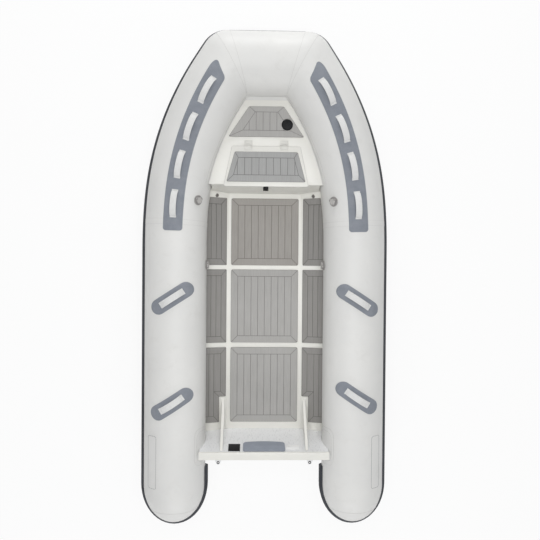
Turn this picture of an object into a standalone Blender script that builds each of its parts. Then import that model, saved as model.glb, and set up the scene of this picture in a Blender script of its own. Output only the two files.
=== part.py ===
"""Rigid inflatable boat with an aluminium hull.

Metres, +X starboard, +Y towards the bow, +Z up, keel on z = 0, origin amidships.
"""

import bmesh
import bpy
import math
from mathutils import Matrix, Vector

# Overall size
boat_length = 3.40
boat_beam = 1.70
tube_diameter = 0.425
tube_axis_height = 0.28
bow_rise = 0.115
sheer_start_y = 0.30
side_curve_start_y = 0.20
bow_half_width = 0.355
cone_length = 0.27
bow_corner_radius = 0.18
bow_pivot_inset = 0.012
chamber_seam_y = 0.395
shoulder_power_share = 2.5
sheer_power_share = 1.8

# Clearances and overruns
seat_gap = 0.0003
cut_overrun = 0.02
hull_to_tube_gap = 0.0010
deck_to_tube_gap = 0.0015
side_pad_seat = 0.0010

# Tubes, strakes and patches
tube_wall = 0.0015
strake_thickness = 0.015
strake_height = 0.075
strake_nose_height = 0.040
strake_bow_drop_deg = 6.0
strake_inner_end_y = -1.297
patch_thickness = 0.0020
long_patch_width = 0.128
long_patch_aft_y = 0.335
long_patch_nose_y = 1.425
long_patch_skew = 0.085
long_patch_corner = 0.022
short_patch_length = 0.318
short_patch_width = 0.103
short_patch_angle_deg = 33.0
fore_patch_y = {"port": -0.1165, "starboard": -0.1236}
aft_patch_y = {"port": -0.824, "starboard": -0.781}

# Handle straps
strap_thickness = 0.0030
long_strap_length = 0.190
long_strap_width = 0.040
long_strap_rise = 0.034
long_strap_lean = 0.010
long_strap_y = {"first": 1.244, "second": 1.012, "third": 0.769, "fourth": 0.513}
short_strap_length = 0.186
short_strap_width = 0.043
short_strap_rise = 0.026
strap_tab_length = 0.026
strap_seat = 0.0016

# Inflation valves
valve_flange_radius = 0.034
valve_flange_thickness = 0.0040
valve_neck_radius = 0.022
valve_neck_length = 0.030
valve_neck_wall = 0.0035
valve_bore_gap = 0.0015
valve_seat = 0.0008
valve_cap_radius = 0.0285
valve_cap_rim = 0.0035
valve_cap_height = 0.0120
valve_cap_lobe = 0.0045
valve_plug_gap = 0.0010
valve_plug_length = 0.016
valve_turn_gap = 0.0006
fore_valve_y = 0.542
aft_valve_y = 0.108

# Hull
hull_skin = 0.0025
keel_flat_width = 0.110
keel_rise_start_y = 0.45
stem_depth = 0.035
stem_half_width = 0.012
chine_drop = 0.009
chine_flat_drop = 0.018
hull_stern_overhang = 0.006

# Deck and the frame below it
deck_height = 0.130
deck_thickness = 0.0030
deck_front_y = 0.800
locker_bay = 0.028
side_bay_width = 0.1667
pad_strip_width = 0.032
frame_plate = 0.0040
stringer_share = 0.5792
frame_y = {"aft": -0.760, "middle": -0.300, "fore": 0.140}

# Foam deck pads
pad_thickness = 0.0050
pad_corner_radius = 0.012
pad_rows = {"fore": (0.106, 0.589), "middle": (-0.4546, 0.0745), "aft": (-1.031, -0.4895)}
side_pad_edge_gap = 0.010
knee_bay_y = -0.845
knee_bay_width = 0.048

# Transom, knees and fittings
transom_height = 0.440
transom_shoulder_drop = 0.0487
transom_thickness = 0.041
transom_wall = 0.0040
transom_foot_y = -1.0815
transom_rake_deg = 15.0
transom_cap_lip = 0.0030
transom_cap_depth = 0.012
knee_bay_offset = 0.017
knee_plate = 0.0050
knee_flange_width = 0.018
knee_flange_thickness = 0.0040
knee_foot_width = 0.044
knee_foot_y = -0.870
knee_top_drop = 0.030
knee_sole = 0.0040
eye_inset = 0.1265
eye_plate = 0.0080
eye_drop = 0.050
eye_base_width = 0.076
eye_reach = 0.048
eye_nose_radius = 0.015
eye_hole_radius = 0.0065
motor_pad_share = 0.4932
motor_pad_height = 0.104
motor_pad_crown = 0.012
motor_pad_thickness = 0.010
motor_pad_corner = 0.024
motor_pad_top_drop = 0.006
drain_height = 0.050
drain_bore_radius = 0.014
drain_plug_radius = 0.0130
drain_plug_depth = 0.030
drain_head_radius = 0.020
drain_head_height = 0.014
drain_grip = 0.004

# Bow locker
locker_height = 0.380
locker_plate = 0.0040
locker_aft_y = 0.658
locker_wall_foot_y = 0.624
locker_side_gap = 0.009
locker_front_gap = 0.0263
locker_skirt_inset = 0.006
locker_skirt_foot = 0.246
lid_front_y = 0.918
lid_overhang = 0.012
lid_front_side_gap = 0.0750
lid_aft_side_gap = 0.1000
lid_plate = 0.0040
lid_corner_radius = 0.010
lid_rim_inset = 0.030
lid_coaming_gap = 0.003
lid_coaming_wall = 0.003
lid_coaming_depth = 0.020
lid_lip_depth = 0.016
lid_lip_wall = 0.0025
lid_pad_front_y = 0.880
lid_pad_aft_y = 0.677
lid_pad_front_margin = 0.018
lid_pad_aft_margin = 0.019
foredeck_pad_front_y = 1.190
foredeck_pad_aft_y = 0.983
foredeck_pad_front_margin = 0.0502
foredeck_pad_aft_margin = 0.0223

# Lid hinges
hinge_place_share = 0.2618
hinge_width = 0.055
hinge_leaf_length = 0.030
hinge_leaf_thickness = 0.0045
hinge_barrel_radius = 0.0048
hinge_pin_radius = 0.0020
hinge_pin_gap = 0.0006
hinge_knuckle_gap = 0.0006
hinge_axis_ahead = 0.010
hinge_swing_gap = 0.0012

# Lid latch on the locker's aft wall
latch_width = 0.036
latch_height = 0.084
latch_plate = 0.0040
latch_top_gap = 0.020
latch_ear_width = 0.005
latch_ear_reach = 0.015
latch_ear_height = 0.020
latch_side_gap = 0.0010
latch_pin_radius = 0.0022
latch_pin_gap = 0.0006
latch_barrel_radius = 0.0060
latch_arm_thickness = 0.0060
latch_arm_gap = 0.0010
latch_grip_thickness = 0.0120
latch_grip_height = 0.022

# Round deck port with a twist cap
deck_port_side_gap = 0.0974
deck_port_y = 1.067
deck_port_flange_radius = 0.0395
deck_port_flange_thickness = 0.0045
deck_port_neck_radius = 0.031
deck_port_neck_wall = 0.003
deck_port_neck_depth = 0.022
deck_port_hole_gap = 0.001
deck_port_cap_radius = 0.032
deck_port_cap_height = 0.005
deck_port_bar_width = 0.013
deck_port_bar_height = 0.008
deck_port_pad_gap = 0.010

# Facet counts
tube_sides = 28
strake_seat_steps = 4
cone_steps = 7
curve_steps = 7
corner_steps = 8
round_steps = 20
small_round_steps = 12
strap_steps = 10
row_steps = 7
corner_arc_steps = 4

# Derived places
half_length = boat_length / 2
half_beam = boat_beam / 2
tube_radius = tube_diameter / 2
facet_angle = 2 * math.pi / tube_sides
tube_inset = strake_thickness + seat_gap + tube_radius
tube_x = half_beam - tube_inset
tube_tip_y = -(half_length - strake_thickness - seat_gap)
cone_base_y = tube_tip_y + cone_length
curve_run = half_length - side_curve_start_y
bow_drop = math.radians(strake_bow_drop_deg)
bow_strake_reach = tube_inset * math.cos(bow_drop) + strake_nose_height / 2 * math.sin(bow_drop)
bow_axis_y = half_length - bow_strake_reach
bow_shoulder_inset = half_beam - bow_half_width
centre_pad_width = 2 * (tube_x - tube_radius - side_bay_width)
fold_x = centre_pad_width / 2 + pad_strip_width / 2
side_pad_x = centre_pad_width / 2 + pad_strip_width
stringer_spacing = 2 * fold_x * stringer_share
knee_x = side_pad_x + knee_bay_offset
motor_pad_width = 2 * knee_x * motor_pad_share
transom_edge_radius = tube_radius + hull_to_tube_gap / math.cos(facet_angle / 2)
transom_shoulder_rise = transom_height - transom_shoulder_drop - tube_axis_height
transom_side_top = math.asin(transom_shoulder_rise / transom_edge_radius)
transom_half_width = tube_x - transom_edge_radius * math.cos(transom_side_top)
eye_x = transom_half_width - eye_inset
transom_slope = math.tan(math.radians(transom_rake_deg))
transom_run = transom_thickness / math.cos(math.radians(transom_rake_deg))
locker_top = locker_height + locker_plate / 2
locker_under = locker_height - locker_plate / 2
lid_bottom = locker_top + seat_gap
lid_top = lid_bottom + lid_plate
lid_aft_y = locker_aft_y - lid_overhang
hinge_axis_y = lid_front_y + hinge_axis_ahead
hinge_axis_z = lid_top + seat_gap + hinge_barrel_radius


def remove_old_objects():
    for old in list(bpy.data.objects):
        bpy.data.objects.remove(old, do_unlink=True)


def make_material(name, color, roughness, metallic=0.0):
    material = bpy.data.materials.new(name)
    material.use_nodes = True
    shader = material.node_tree.nodes["Principled BSDF"]
    shader.inputs["Base Color"].default_value = (*color, 1.0)
    shader.inputs["Roughness"].default_value = roughness
    shader.inputs["Metallic"].default_value = metallic
    return material


def build_materials():
    return {
        "tube_fabric": make_material("tube_fabric", (0.68, 0.68, 0.67), 0.55),
        "strake_rubber": make_material("strake_rubber", (0.07, 0.075, 0.085), 0.60),
        "patch_fabric": make_material("patch_fabric", (0.29, 0.32, 0.37), 0.65),
        "strap_webbing": make_material("strap_webbing", (0.80, 0.80, 0.79), 0.75),
        "hull_paint": make_material("hull_paint", (0.80, 0.79, 0.75), 0.35),
        "transom_paint": make_material("transom_paint", (0.74, 0.77, 0.79), 0.35),
        "deck_foam": make_material("deck_foam", (0.37, 0.35, 0.33), 0.85),
        "valve_plastic": make_material("valve_plastic", (0.42, 0.43, 0.44), 0.50),
        "hinge_plastic": make_material("hinge_plastic", (0.82, 0.81, 0.78), 0.40),
        "black_plastic": make_material("black_plastic", (0.02, 0.02, 0.022), 0.45),
        "motor_pad_plastic": make_material("motor_pad_plastic", (0.29, 0.32, 0.38), 0.55),
    }


def finish(name, mesh, material, sharp_deg=35.0):
    """A named object with one material, round faces smooth."""
    bmesh.ops.recalc_face_normals(mesh, faces=mesh.faces)
    data = bpy.data.meshes.new(name)
    mesh.to_mesh(data)
    mesh.free()
    data.shade_smooth()
    data.set_sharp_from_angle(angle=math.radians(sharp_deg))
    obj = bpy.data.objects.new(name, data)
    bpy.context.scene.collection.objects.link(obj)
    if material is not None:
        data.materials.append(material)
    return obj


def hang_on_axis(obj, pivot, name):
    """Puts a moving piece under an empty that stands on its joint axis."""
    axis = bpy.data.objects.new(name, None)
    axis.empty_display_size = valve_cap_radius
    axis.location = pivot
    bpy.context.scene.collection.objects.link(axis)
    obj.data.transform(Matrix.Translation(-Vector(pivot)))
    for modifier in obj.modifiers:
        if modifier.type == "BOOLEAN":
            modifier.object.data.transform(Matrix.Translation(-Vector(pivot)))
            modifier.object.parent = axis
    obj.parent = axis
    return axis


def cut(target, cutter, operation="DIFFERENCE"):
    cutter.hide_render = True
    cutter.display_type = "WIRE"
    modifier = target.modifiers.new(cutter.name, "BOOLEAN")
    modifier.operation = operation
    modifier.solver = "EXACT"
    modifier.object = cutter


def join_on(target, piece):
    cut(target, piece, "UNION")


def loft(rings, tip_first=None, tip_last=None):
    """A closed mesh through rings of equal length, ends flat or drawn to a tip."""
    mesh = bmesh.new()
    rows = [[mesh.verts.new(point) for point in ring] for ring in rings]
    count = len(rows[0])
    for row, following in zip(rows, rows[1:]):
        for k in range(count):
            after = (k + 1) % count
            mesh.faces.new((row[k], row[after], following[after], following[k]))
    for row, tip in ((rows[0], tip_first), (rows[-1], tip_last)):
        if tip is None:
            mesh.faces.new(row)
            continue
        point = mesh.verts.new(tip)
        for k in range(count):
            mesh.faces.new((row[k], row[(k + 1) % count], point))
    return mesh


def grid_sheet(lower, upper, turned=()):
    """A closed thin sheet between two grids; the columns in turned split the other way."""
    mesh = bmesh.new()
    low = [[mesh.verts.new(point) for point in row] for row in lower]
    high = [[mesh.verts.new(point) for point in row] for row in upper]
    rows = len(low)
    columns = len(low[0])
    for i in range(rows - 1):
        for j in range(columns - 1):
            for layer in (low, high):
                a, b = layer[i][j], layer[i][j + 1]
                c, d = layer[i + 1][j + 1], layer[i + 1][j]
                if j in turned:
                    a, b, c, d = b, c, d, a
                mesh.faces.new((a, b, c))
                mesh.faces.new((a, c, d))
    for i in range(rows - 1):
        for j in (0, columns - 1):
            mesh.faces.new((low[i][j], low[i + 1][j], high[i + 1][j], high[i][j]))
    for j in range(columns - 1):
        for i in (0, rows - 1):
            mesh.faces.new((low[i][j], low[i][j + 1], high[i][j + 1], high[i][j]))
    return mesh


def prism(outline, base, across, up, along):
    """An outline in the plane of two vectors, extruded along a third."""
    mesh = bmesh.new()
    across, up, along = Vector(across), Vector(up), Vector(along)
    near = [mesh.verts.new(Vector(base) + across * u + up * v) for u, v in outline]
    far = [mesh.verts.new(point.co + along) for point in near]
    mesh.faces.new(near)
    mesh.faces.new(far)
    for k in range(len(near)):
        after = (k + 1) % len(near)
        mesh.faces.new((near[k], near[after], far[after], far[k]))
    return mesh


def plate(outline, bottom, thickness):
    """A level plate from its plan outline."""
    return prism(outline, (0, 0, bottom), (1, 0, 0), (0, 1, 0), (0, 0, thickness))


def lathe(profile, origin, axis, steps, start=(1, 0, 0)):
    """A turned solid: radius and height pairs, closed on the axis at both ends."""
    axis = Vector(axis).normalized()
    first = (Vector(start) - axis * axis.dot(Vector(start))).normalized()
    second = axis.cross(first)
    rings = []
    for radius, height in profile:
        centre = Vector(origin) + axis * height
        ring = []
        for k in range(steps):
            turn = 2 * math.pi * k / steps
            ring.append(centre + (first * math.cos(turn) + second * math.sin(turn)) * radius)
        rings.append(ring)
    return loft(rings)


def rounded(points, radius, steps=corner_arc_steps):
    """A plan outline whose corners are turned with arcs."""
    result = []
    count = len(points)
    radii = radius if isinstance(radius, (list, tuple)) else [radius] * count
    for k, point in enumerate(points):
        here = Vector(point)
        to_last = (Vector(points[k - 1]) - here).normalized()
        to_next = (Vector(points[(k + 1) % count]) - here).normalized()
        half = to_last.angle(to_next) / 2
        if radii[k] <= 0 or half > math.radians(88):
            result.append(tuple(here))
            continue
        reach = radii[k] / math.tan(half)
        centre = here + (to_last + to_next).normalized() * (radii[k] / math.sin(half))
        first = here + to_last * reach - centre
        last = here + to_next * reach - centre
        sweep = first.angle(last)
        for i in range(steps + 1):
            turn = sweep * i / steps
            arm = (first * math.sin(sweep - turn) + last * math.sin(turn)) / math.sin(sweep)
            result.append(tuple(centre + arm))
    return result


class Frame:
    """One station of a tube: its centre, its outward direction in plan, and its half sizes."""

    def __init__(self, centre, outward, half_width, half_height):
        self.centre = Vector(centre)
        self.outward = Vector((outward[0], outward[1], 0.0)).normalized()
        self.half_width = half_width
        self.half_height = half_height

    def point(self, angle, lift=0.0, faceted=True):
        """A point on the tube's skin; angle 0 is outboard and a quarter turn is the crown."""
        share = facet_share(angle) if faceted else 1.0
        wide = self.half_width * share + lift
        high = self.half_height * share + lift
        up = Vector((0.0, 0.0, 1.0))
        return self.centre + self.outward * (wide * math.cos(angle)) + up * (high * math.sin(angle))

    def ring(self, inset=0.0):
        points = []
        for k in range(tube_sides):
            points.append(self.point(k * facet_angle, -inset, faceted=False))
        return points

    def mirrored(self):
        x, y, z = self.centre
        return Frame((-x, y, z), (-self.outward.x, self.outward.y), self.half_width, self.half_height)


def facet_share(angle):
    """How far the flat facets lie inside the round tube at this angle."""
    middle = (math.floor(angle / facet_angle) + 0.5) * facet_angle
    return math.cos(facet_angle / 2) / math.cos(angle - middle)


def blend_frames(first, last, share):
    keep = 1.0 - share
    mixed = Frame(first.centre * keep + last.centre * share, first.outward, 1.0, 1.0)
    mixed.outward = first.outward * keep + last.outward * share
    mixed.half_width = first.half_width * keep + last.half_width * share
    mixed.half_height = first.half_height * keep + last.half_height * share
    return mixed


def axis_height(y):
    run = max(0.0, y - sheer_start_y) / (bow_axis_y - sheer_start_y)
    return tube_axis_height + bow_rise * run ** sheer_power_share


def side_frame(y):
    """The starboard tube's frame where the outer rubbing line passes y."""
    share = max(0.0, y - side_curve_start_y) / curve_run
    x = half_beam - bow_shoulder_inset * share ** shoulder_power_share
    slope = bow_shoulder_inset * shoulder_power_share / curve_run
    slope *= share ** (shoulder_power_share - 1)
    outward = Vector((1.0, slope, 0.0)).normalized()
    centre = Vector((x, y, 0.0)) - outward * tube_inset
    centre.z = axis_height(centre.y)
    return Frame(centre, outward, tube_radius, tube_radius)


def solve(function, low, high):
    """Where a rising function passes zero."""
    for _ in range(50):
        middle = (low + high) / 2
        if function(middle) < 0:
            low = middle
        else:
            high = middle
    return (low + high) / 2


def inner_reach(y):
    """How far ahead the pivot of the bow corner would be for this station."""
    frame = side_frame(y)
    return frame.centre.y - frame.outward.y * (tube_radius + bow_pivot_inset)


def fore_valve_ahead(station):
    """How far ahead of its place the fore valve would be for this station."""
    return side_frame(station).point(fore_valve_angle).y - fore_valve_y


fore_valve_angle = math.pi - 3.5 * facet_angle
aft_valve_angle = math.pi - 0.5 * facet_angle
fore_valve_station = solve(fore_valve_ahead, side_curve_start_y, half_length)
bow_pivot_y = bow_axis_y - tube_radius - bow_pivot_inset
corner_start_y = solve(lambda y: inner_reach(y) - bow_pivot_y, side_curve_start_y, half_length)


def corner_frames():
    """Frames that swing about the inner corner of the bow, round on the outside."""
    start = side_frame(corner_start_y)
    pivot = start.centre - start.outward * (tube_radius + bow_pivot_inset)
    depth = 2 * tube_radius + bow_pivot_inset
    first = math.atan2(start.outward.y, start.outward.x)
    half = (math.pi / 2 - first) / 2
    arc_centre = (depth - bow_corner_radius) / math.cos(half)
    tangent_x = arc_centre + bow_corner_radius * math.cos(half)
    tangent_y = bow_corner_radius * math.sin(half)
    arc_half = math.atan2(tangent_y, tangent_x)
    frames = []
    for k in range(corner_steps + 1):
        off = half * (2 * k / corner_steps - 1)
        if abs(off) < arc_half:
            root = bow_corner_radius ** 2 - (arc_centre * math.sin(off)) ** 2
            reach = arc_centre * math.cos(off) + math.sqrt(root)
        else:
            reach = depth / math.cos(half - abs(off))
        angle = first + half + off
        outward = Vector((math.cos(angle), math.sin(angle), 0.0))
        half_width = (reach - bow_pivot_inset) / 2
        centre = pivot + outward * (bow_pivot_inset + half_width)
        centre.z = axis_height(centre.y)
        frames.append(Frame(centre, outward, half_width, tube_radius))
    return frames


def bow_middle_frame(x=0.0):
    last = corner_frames()[-1]
    return Frame((x, last.centre.y, last.centre.z), (0.0, 1.0), last.half_width, tube_radius)


def curve_frames(start_y):
    """Starboard stations from start_y to the bow corner, with flat bays at the valve."""
    pad = valve_flange_radius * 1.25
    stations = [start_y, fore_valve_station - pad, fore_valve_station + pad]
    run = corner_start_y - stations[-1]
    for k in range(1, curve_steps):
        stations.append(stations[-1] + run / curve_steps)
    frames = [side_frame(y) for y in stations]
    return frames + corner_frames()


def cone_frames(inset=0.0):
    """Rings of the bullet shaped stern cone, smallest first."""
    radius = tube_radius - inset
    length = cone_length - inset
    frames = []
    for k in range(cone_steps, 0, -1):
        angle = math.radians(82) * k / cone_steps
        here = radius * math.cos(angle)
        y = cone_base_y - length * math.sin(angle)
        frames.append(Frame((tube_x, y, tube_axis_height), (1.0, 0.0), here, here))
    frames.append(Frame((tube_x, cone_base_y, tube_axis_height), (1.0, 0.0), radius, radius))
    return frames


SIDES = {"port": -1, "starboard": 1}


def on_side(frame, side):
    return frame if SIDES[side] > 0 else frame.mirrored()


def skin_frames():
    """All starboard stations that the skin of the straight and curved tube runs through."""
    aft = [side_frame(cone_base_y), side_frame(side_curve_start_y)]
    return aft + curve_frames(chamber_seam_y) + [bow_middle_frame()]


def skin_lengths(frames):
    lengths = [0.0]
    for first, last in zip(frames, frames[1:]):
        step = last.point(math.pi / 2) - first.point(math.pi / 2)
        lengths.append(lengths[-1] + step.length)
    return lengths


def frame_along(frames, lengths, distance):
    for k in range(len(frames) - 1):
        if distance <= lengths[k + 1] or k == len(frames) - 2:
            share = (distance - lengths[k]) / (lengths[k + 1] - lengths[k])
            return blend_frames(frames[k], frames[k + 1], share)
    return frames[-1]


def distance_at_crown_y(frames, lengths, y):
    def ahead(distance):
        return frame_along(frames, lengths, distance).centre.y - y

    return solve(ahead, 0.0, lengths[-2])


def valve_seats():
    """Centre and outward axis of each valve on its flat stretch of skin."""
    pad = valve_flange_radius * 1.25
    up = Vector((0.0, 0.0, 1.0))
    seats = {}
    for side in SIDES:
        rows = (("fore", fore_valve_station, fore_valve_angle), ("aft", aft_valve_y, aft_valve_angle))
        for row, station, angle in rows:
            first = on_side(side_frame(station - pad), side)
            last = on_side(side_frame(station + pad), side)
            frame = blend_frames(first, last, 0.5)
            around = up * math.cos(angle) - frame.outward * math.sin(angle)
            along = last.point(angle) - first.point(angle)
            away = frame.outward * math.cos(angle) + up * math.sin(angle)
            axis = around.cross(along).normalized()
            if axis.dot(away) < 0:
                axis = -axis
            seats[side + "_" + row] = (frame.point(angle), axis)
    return seats


def bore_cutter(name, seat):
    point, axis = seat
    radius = valve_neck_radius + valve_bore_gap
    profile = [(radius, -valve_neck_length), (radius, cut_overrun)]
    return finish(name, lathe(profile, point, axis, round_steps), None)


def build_tubes(materials):
    seats = valve_seats()
    half_gap = seat_gap / 2
    tip = Vector((tube_x, tube_tip_y, tube_axis_height))
    for side in SIDES:
        outer = cone_frames() + [side_frame(side_curve_start_y), side_frame(chamber_seam_y - half_gap)]
        inner = cone_frames(tube_wall)
        inner += [side_frame(side_curve_start_y), side_frame(chamber_seam_y - half_gap - tube_wall)]
        outer = [on_side(frame, side) for frame in outer]
        inner = [on_side(frame, side) for frame in inner]
        end = Vector((tip.x * SIDES[side], tip.y, tip.z))
        tube = finish(
            side + "_aft_tube", loft([f.ring() for f in outer], end), materials["tube_fabric"]
        )
        rings = [f.ring() for f in inner[:cone_steps + 1]]
        rings += [f.ring(tube_wall) for f in inner[cone_steps + 1:]]
        inner_end = end + Vector((0.0, tube_wall, 0.0))
        cut(tube, finish(side + "_aft_air", loft(rings, inner_end), None))
        cut(tube, bore_cutter(side + "_aft_valve_bore", seats[side + "_aft"]))
    starboard = curve_frames(chamber_seam_y + half_gap)
    port = [frame.mirrored() for frame in reversed(starboard)]
    rings = [f.ring() for f in starboard + [bow_middle_frame()] + port]
    bow = finish("bow_tube", loft(rings), materials["tube_fabric"])
    for side in SIDES:
        frames = curve_frames(chamber_seam_y + half_gap + tube_wall) + [bow_middle_frame(tube_wall / 2)]
        rings = [on_side(f, side).ring(tube_wall) for f in frames]
        cut(bow, finish(side + "_fore_air", loft(rings), None))
        cut(bow, bore_cutter(side + "_fore_valve_bore", seats[side + "_fore"]))


def build_valves(materials):
    for name, (point, axis) in valve_seats().items():
        top = valve_seat + valve_flange_thickness
        hollow = valve_neck_radius - valve_neck_wall
        profile = [
            (hollow / 2, valve_neck_wall - valve_neck_length),
            (hollow, valve_neck_wall - valve_neck_length),
            (hollow, top),
            (valve_flange_radius - valve_seat, top),
            (valve_flange_radius, valve_seat + valve_flange_thickness / 2),
            (valve_flange_radius, valve_seat),
            (valve_neck_radius, valve_seat),
            (valve_neck_radius, -valve_neck_length),
            (hollow / 2, -valve_neck_length),
        ]
        body = lathe(profile, point, axis, round_steps)
        finish(name + "_valve", body, materials["valve_plastic"])
        base = top + valve_turn_gap
        plug = hollow - valve_plug_gap
        cap_profile = [
            (plug, top - valve_plug_length),
            (plug, base),
            (valve_cap_radius, base),
            (valve_cap_radius, base + valve_cap_rim),
        ]
        mesh = valve_cap_mesh(cap_profile, point, axis, base + valve_cap_rim)
        cap = finish(name + "_valve_cap", mesh, materials["valve_plastic"])
        hang_on_axis(cap, point, name + "_valve_axis")


def valve_cap_mesh(profile, origin, axis, grip_start):
    """A turned cap whose grip swells into three lobes."""
    axis = Vector(axis).normalized()
    first = axis.orthogonal().normalized()
    second = axis.cross(first)
    steps = round_steps + round_steps // 5
    grip = valve_cap_radius - 2 * valve_cap_lobe
    shapes = [(radius, height, 0.0) for radius, height in profile]
    shapes.append((grip, grip_start, valve_cap_lobe))
    shapes.append((grip - valve_cap_lobe / 3, grip_start + valve_cap_height, valve_cap_lobe))
    rings = []
    for radius, height, lobe in shapes:
        ring = []
        for k in range(steps):
            turn = 2 * math.pi * k / steps
            reach = radius + lobe * math.cos(3 * turn)
            arm = first * math.cos(turn) + second * math.sin(turn)
            ring.append(Vector(origin) + axis * height + arm * reach)
        rings.append(ring)
    return loft(rings)


def strake_path():
    """Starboard strake stations, from the cone's inner side round to the bow's middle.

    The last value of each says how far the lips reach round the tube: not at all at the cone's tip.
    """
    def station(point, outward, angle, wrap=1.0):
        return (Vector(point), Vector((outward[0], outward[1], 0.0)).normalized(), angle, wrap)

    inner_x = tube_x - tube_radius
    path = [station((inner_x, strake_inner_end_y, tube_axis_height), (-1.0, 0.0), 0.0)]
    path.append(station((inner_x, cone_base_y, tube_axis_height), (-1.0, 0.0), 0.0))
    angles = [math.radians(82) * k / cone_steps for k in range(1, cone_steps + 1)]
    for sign, order in ((-1, angles), (1, list(reversed(angles)))):
        for angle in order:
            x = tube_x + sign * tube_radius * math.cos(angle)
            y = cone_base_y - cone_length * math.sin(angle)
            outward = (sign * math.cos(angle) / tube_radius, -math.sin(angle) / cone_length)
            path.append(station((x, y, tube_axis_height), outward, 0.0, math.cos(angle)))
        if sign < 0:
            path.append(station((tube_x, tube_tip_y, tube_axis_height), (0.0, -1.0), 0.0, 0.0))
    frames = skin_frames()
    frames[-1] = bow_middle_frame(seat_gap / 2)
    for frame in frames:
        share = max(0.0, frame.centre.y - side_curve_start_y) / (bow_axis_y - side_curve_start_y)
        angle = -bow_drop * share
        path.append(station(frame.point(angle, faceted=False), frame.outward, angle))
    return path


def strake_seat():
    """The strake's inner face from its upper lip to its lower: it lies round the tube."""
    points = []
    for k in range(strake_seat_steps + 1):
        height = strake_height * (0.5 - k / strake_seat_steps)
        points.append((math.sqrt(tube_radius ** 2 - height ** 2) - tube_radius, height))
    return points


def build_strakes(materials):
    profile = [
        (strake_thickness * 0.55, -strake_height / 2),
        (strake_thickness, -strake_nose_height / 2),
        (strake_thickness, strake_nose_height / 2),
        (strake_thickness * 0.55, strake_height / 2),
    ]
    profile += strake_seat()
    up = Vector((0.0, 0.0, 1.0))
    for side, sign in SIDES.items():
        rings = []
        for point, outward, angle, wrap in strake_path():
            away = outward * math.cos(angle) + up * math.sin(angle)
            rise = up * math.cos(angle) - outward * math.sin(angle)
            ring = []
            for out, height in profile:
                reach = seat_gap + (out if out > 0 else out * wrap)
                place = point + away * reach + rise * height
                ring.append(Vector((place.x * sign, place.y, place.z)))
            rings.append(ring)
        finish(side + "_rubbing_strake", loft(rings), materials["strake_rubber"])


def skin_band(side, start, end, first_facet, last_facet):
    """A thin band over whole facets of the tube, between two distances along the crown."""
    frames = skin_frames()
    lengths = skin_lengths(frames)
    cuts = [start] + [x for x in lengths if start < x < end] + [end]
    lower, upper = [], []
    for distance in cuts:
        frame = on_side(frame_along(frames, lengths, distance), side)
        angles = [k * facet_angle for k in range(first_facet, last_facet + 1)]
        lower.append([frame.point(angle, seat_gap) for angle in angles])
        upper.append([frame.point(angle, seat_gap + patch_thickness) for angle in angles])
    return grid_sheet(lower, upper)


def trim_to_outline(obj, name, outline):
    low = tube_axis_height
    high = tube_radius * 2 + bow_rise
    trim = finish(name, plate(outline, low, high), None)
    cut(obj, trim, "INTERSECT")


def build_long_patches(materials):
    frames = skin_frames()
    lengths = skin_lengths(frames)
    aft = distance_at_crown_y(frames, lengths, long_patch_aft_y)
    nose = distance_at_crown_y(frames, lengths, long_patch_nose_y)
    half = long_patch_width / 2
    crown_facet = tube_sides // 4
    samples = [x for x in lengths if aft + long_patch_corner < x < nose - long_patch_skew]
    for side, sign in SIDES.items():
        margin = cut_overrun
        start, end = aft - margin, min(nose + margin, lengths[-1])
        band = skin_band(side, start, end, crown_facet - 3, crown_facet + 3)
        patch = finish(side + "_grip_patch", band, materials["patch_fabric"])

        def edge(distance, out):
            frame = frame_along(frames, lengths, distance)
            place = frame.centre + frame.outward * (out * half)
            return (place.x * sign, place.y)

        corners = [edge(aft, -1), edge(aft, 1)]
        outer = [edge(x, 1) for x in samples]
        tip = [edge(nose, 0.55), edge(nose - long_patch_skew, -1)]
        inner = [edge(x, -1) for x in reversed(samples)]
        points = corners + outer + tip + inner
        radii = [long_patch_corner] * 2 + [0.0] * len(outer)
        radii += [long_patch_corner / 2] * 2 + [0.0] * len(inner)
        trim_to_outline(patch, side + "_grip_patch_outline", rounded(points, radii))


def short_patch_centres():
    places = {}
    for side in SIDES:
        places[side + "_fore"] = (side, fore_patch_y[side])
        places[side + "_aft"] = (side, aft_patch_y[side])
    return places


def short_patch_direction(side):
    angle = math.radians(short_patch_angle_deg)
    return Vector((math.cos(angle) * SIDES[side], -math.sin(angle)))


def build_short_patches(materials):
    crown_facet = tube_sides // 4
    base = side_frame(cone_base_y)
    for name, (side, y) in short_patch_centres().items():
        centre = Vector((tube_x * SIDES[side], y))
        along = short_patch_direction(side)
        across = Vector((-along.y, along.x))
        half = short_patch_width / 2
        run = short_patch_length / 2 - half
        outline = []
        for end in (1, -1):
            for k in range(2 * corner_arc_steps + 1):
                turn = math.pi * (k / (2 * corner_arc_steps) - 0.5)
                place = centre + along * (end * (run + half * math.cos(turn)))
                place += across * (end * half * math.sin(turn))
                outline.append((place.x, place.y))
        reach = short_patch_length / 2 + cut_overrun
        start = y - reach - base.centre.y
        band = skin_band(side, start, start + 2 * reach, crown_facet - 4, crown_facet + 4)
        patch = finish(name + "_handle_patch", band, materials["patch_fabric"])
        trim_to_outline(patch, name + "_handle_patch_outline", outline)


def arch(position, length, rise):
    """Height of a strap above its seat: flat tabs at both ends and a round arch between."""
    span = length / 2 - strap_tab_length
    if abs(position) >= span:
        return 0.0
    share = position / span
    return rise * (1 - share ** 2) ** 0.7 if abs(share) < 1 else 0.0


def strap_positions(length):
    """Places along a strap: its ends, the two folds and even steps over the arch."""
    span = length / 2 - strap_tab_length
    inner = [span * math.sin(math.pi * (k / strap_steps - 0.5)) for k in range(strap_steps + 1)]
    return [-length / 2] + inner + [length / 2]


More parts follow.
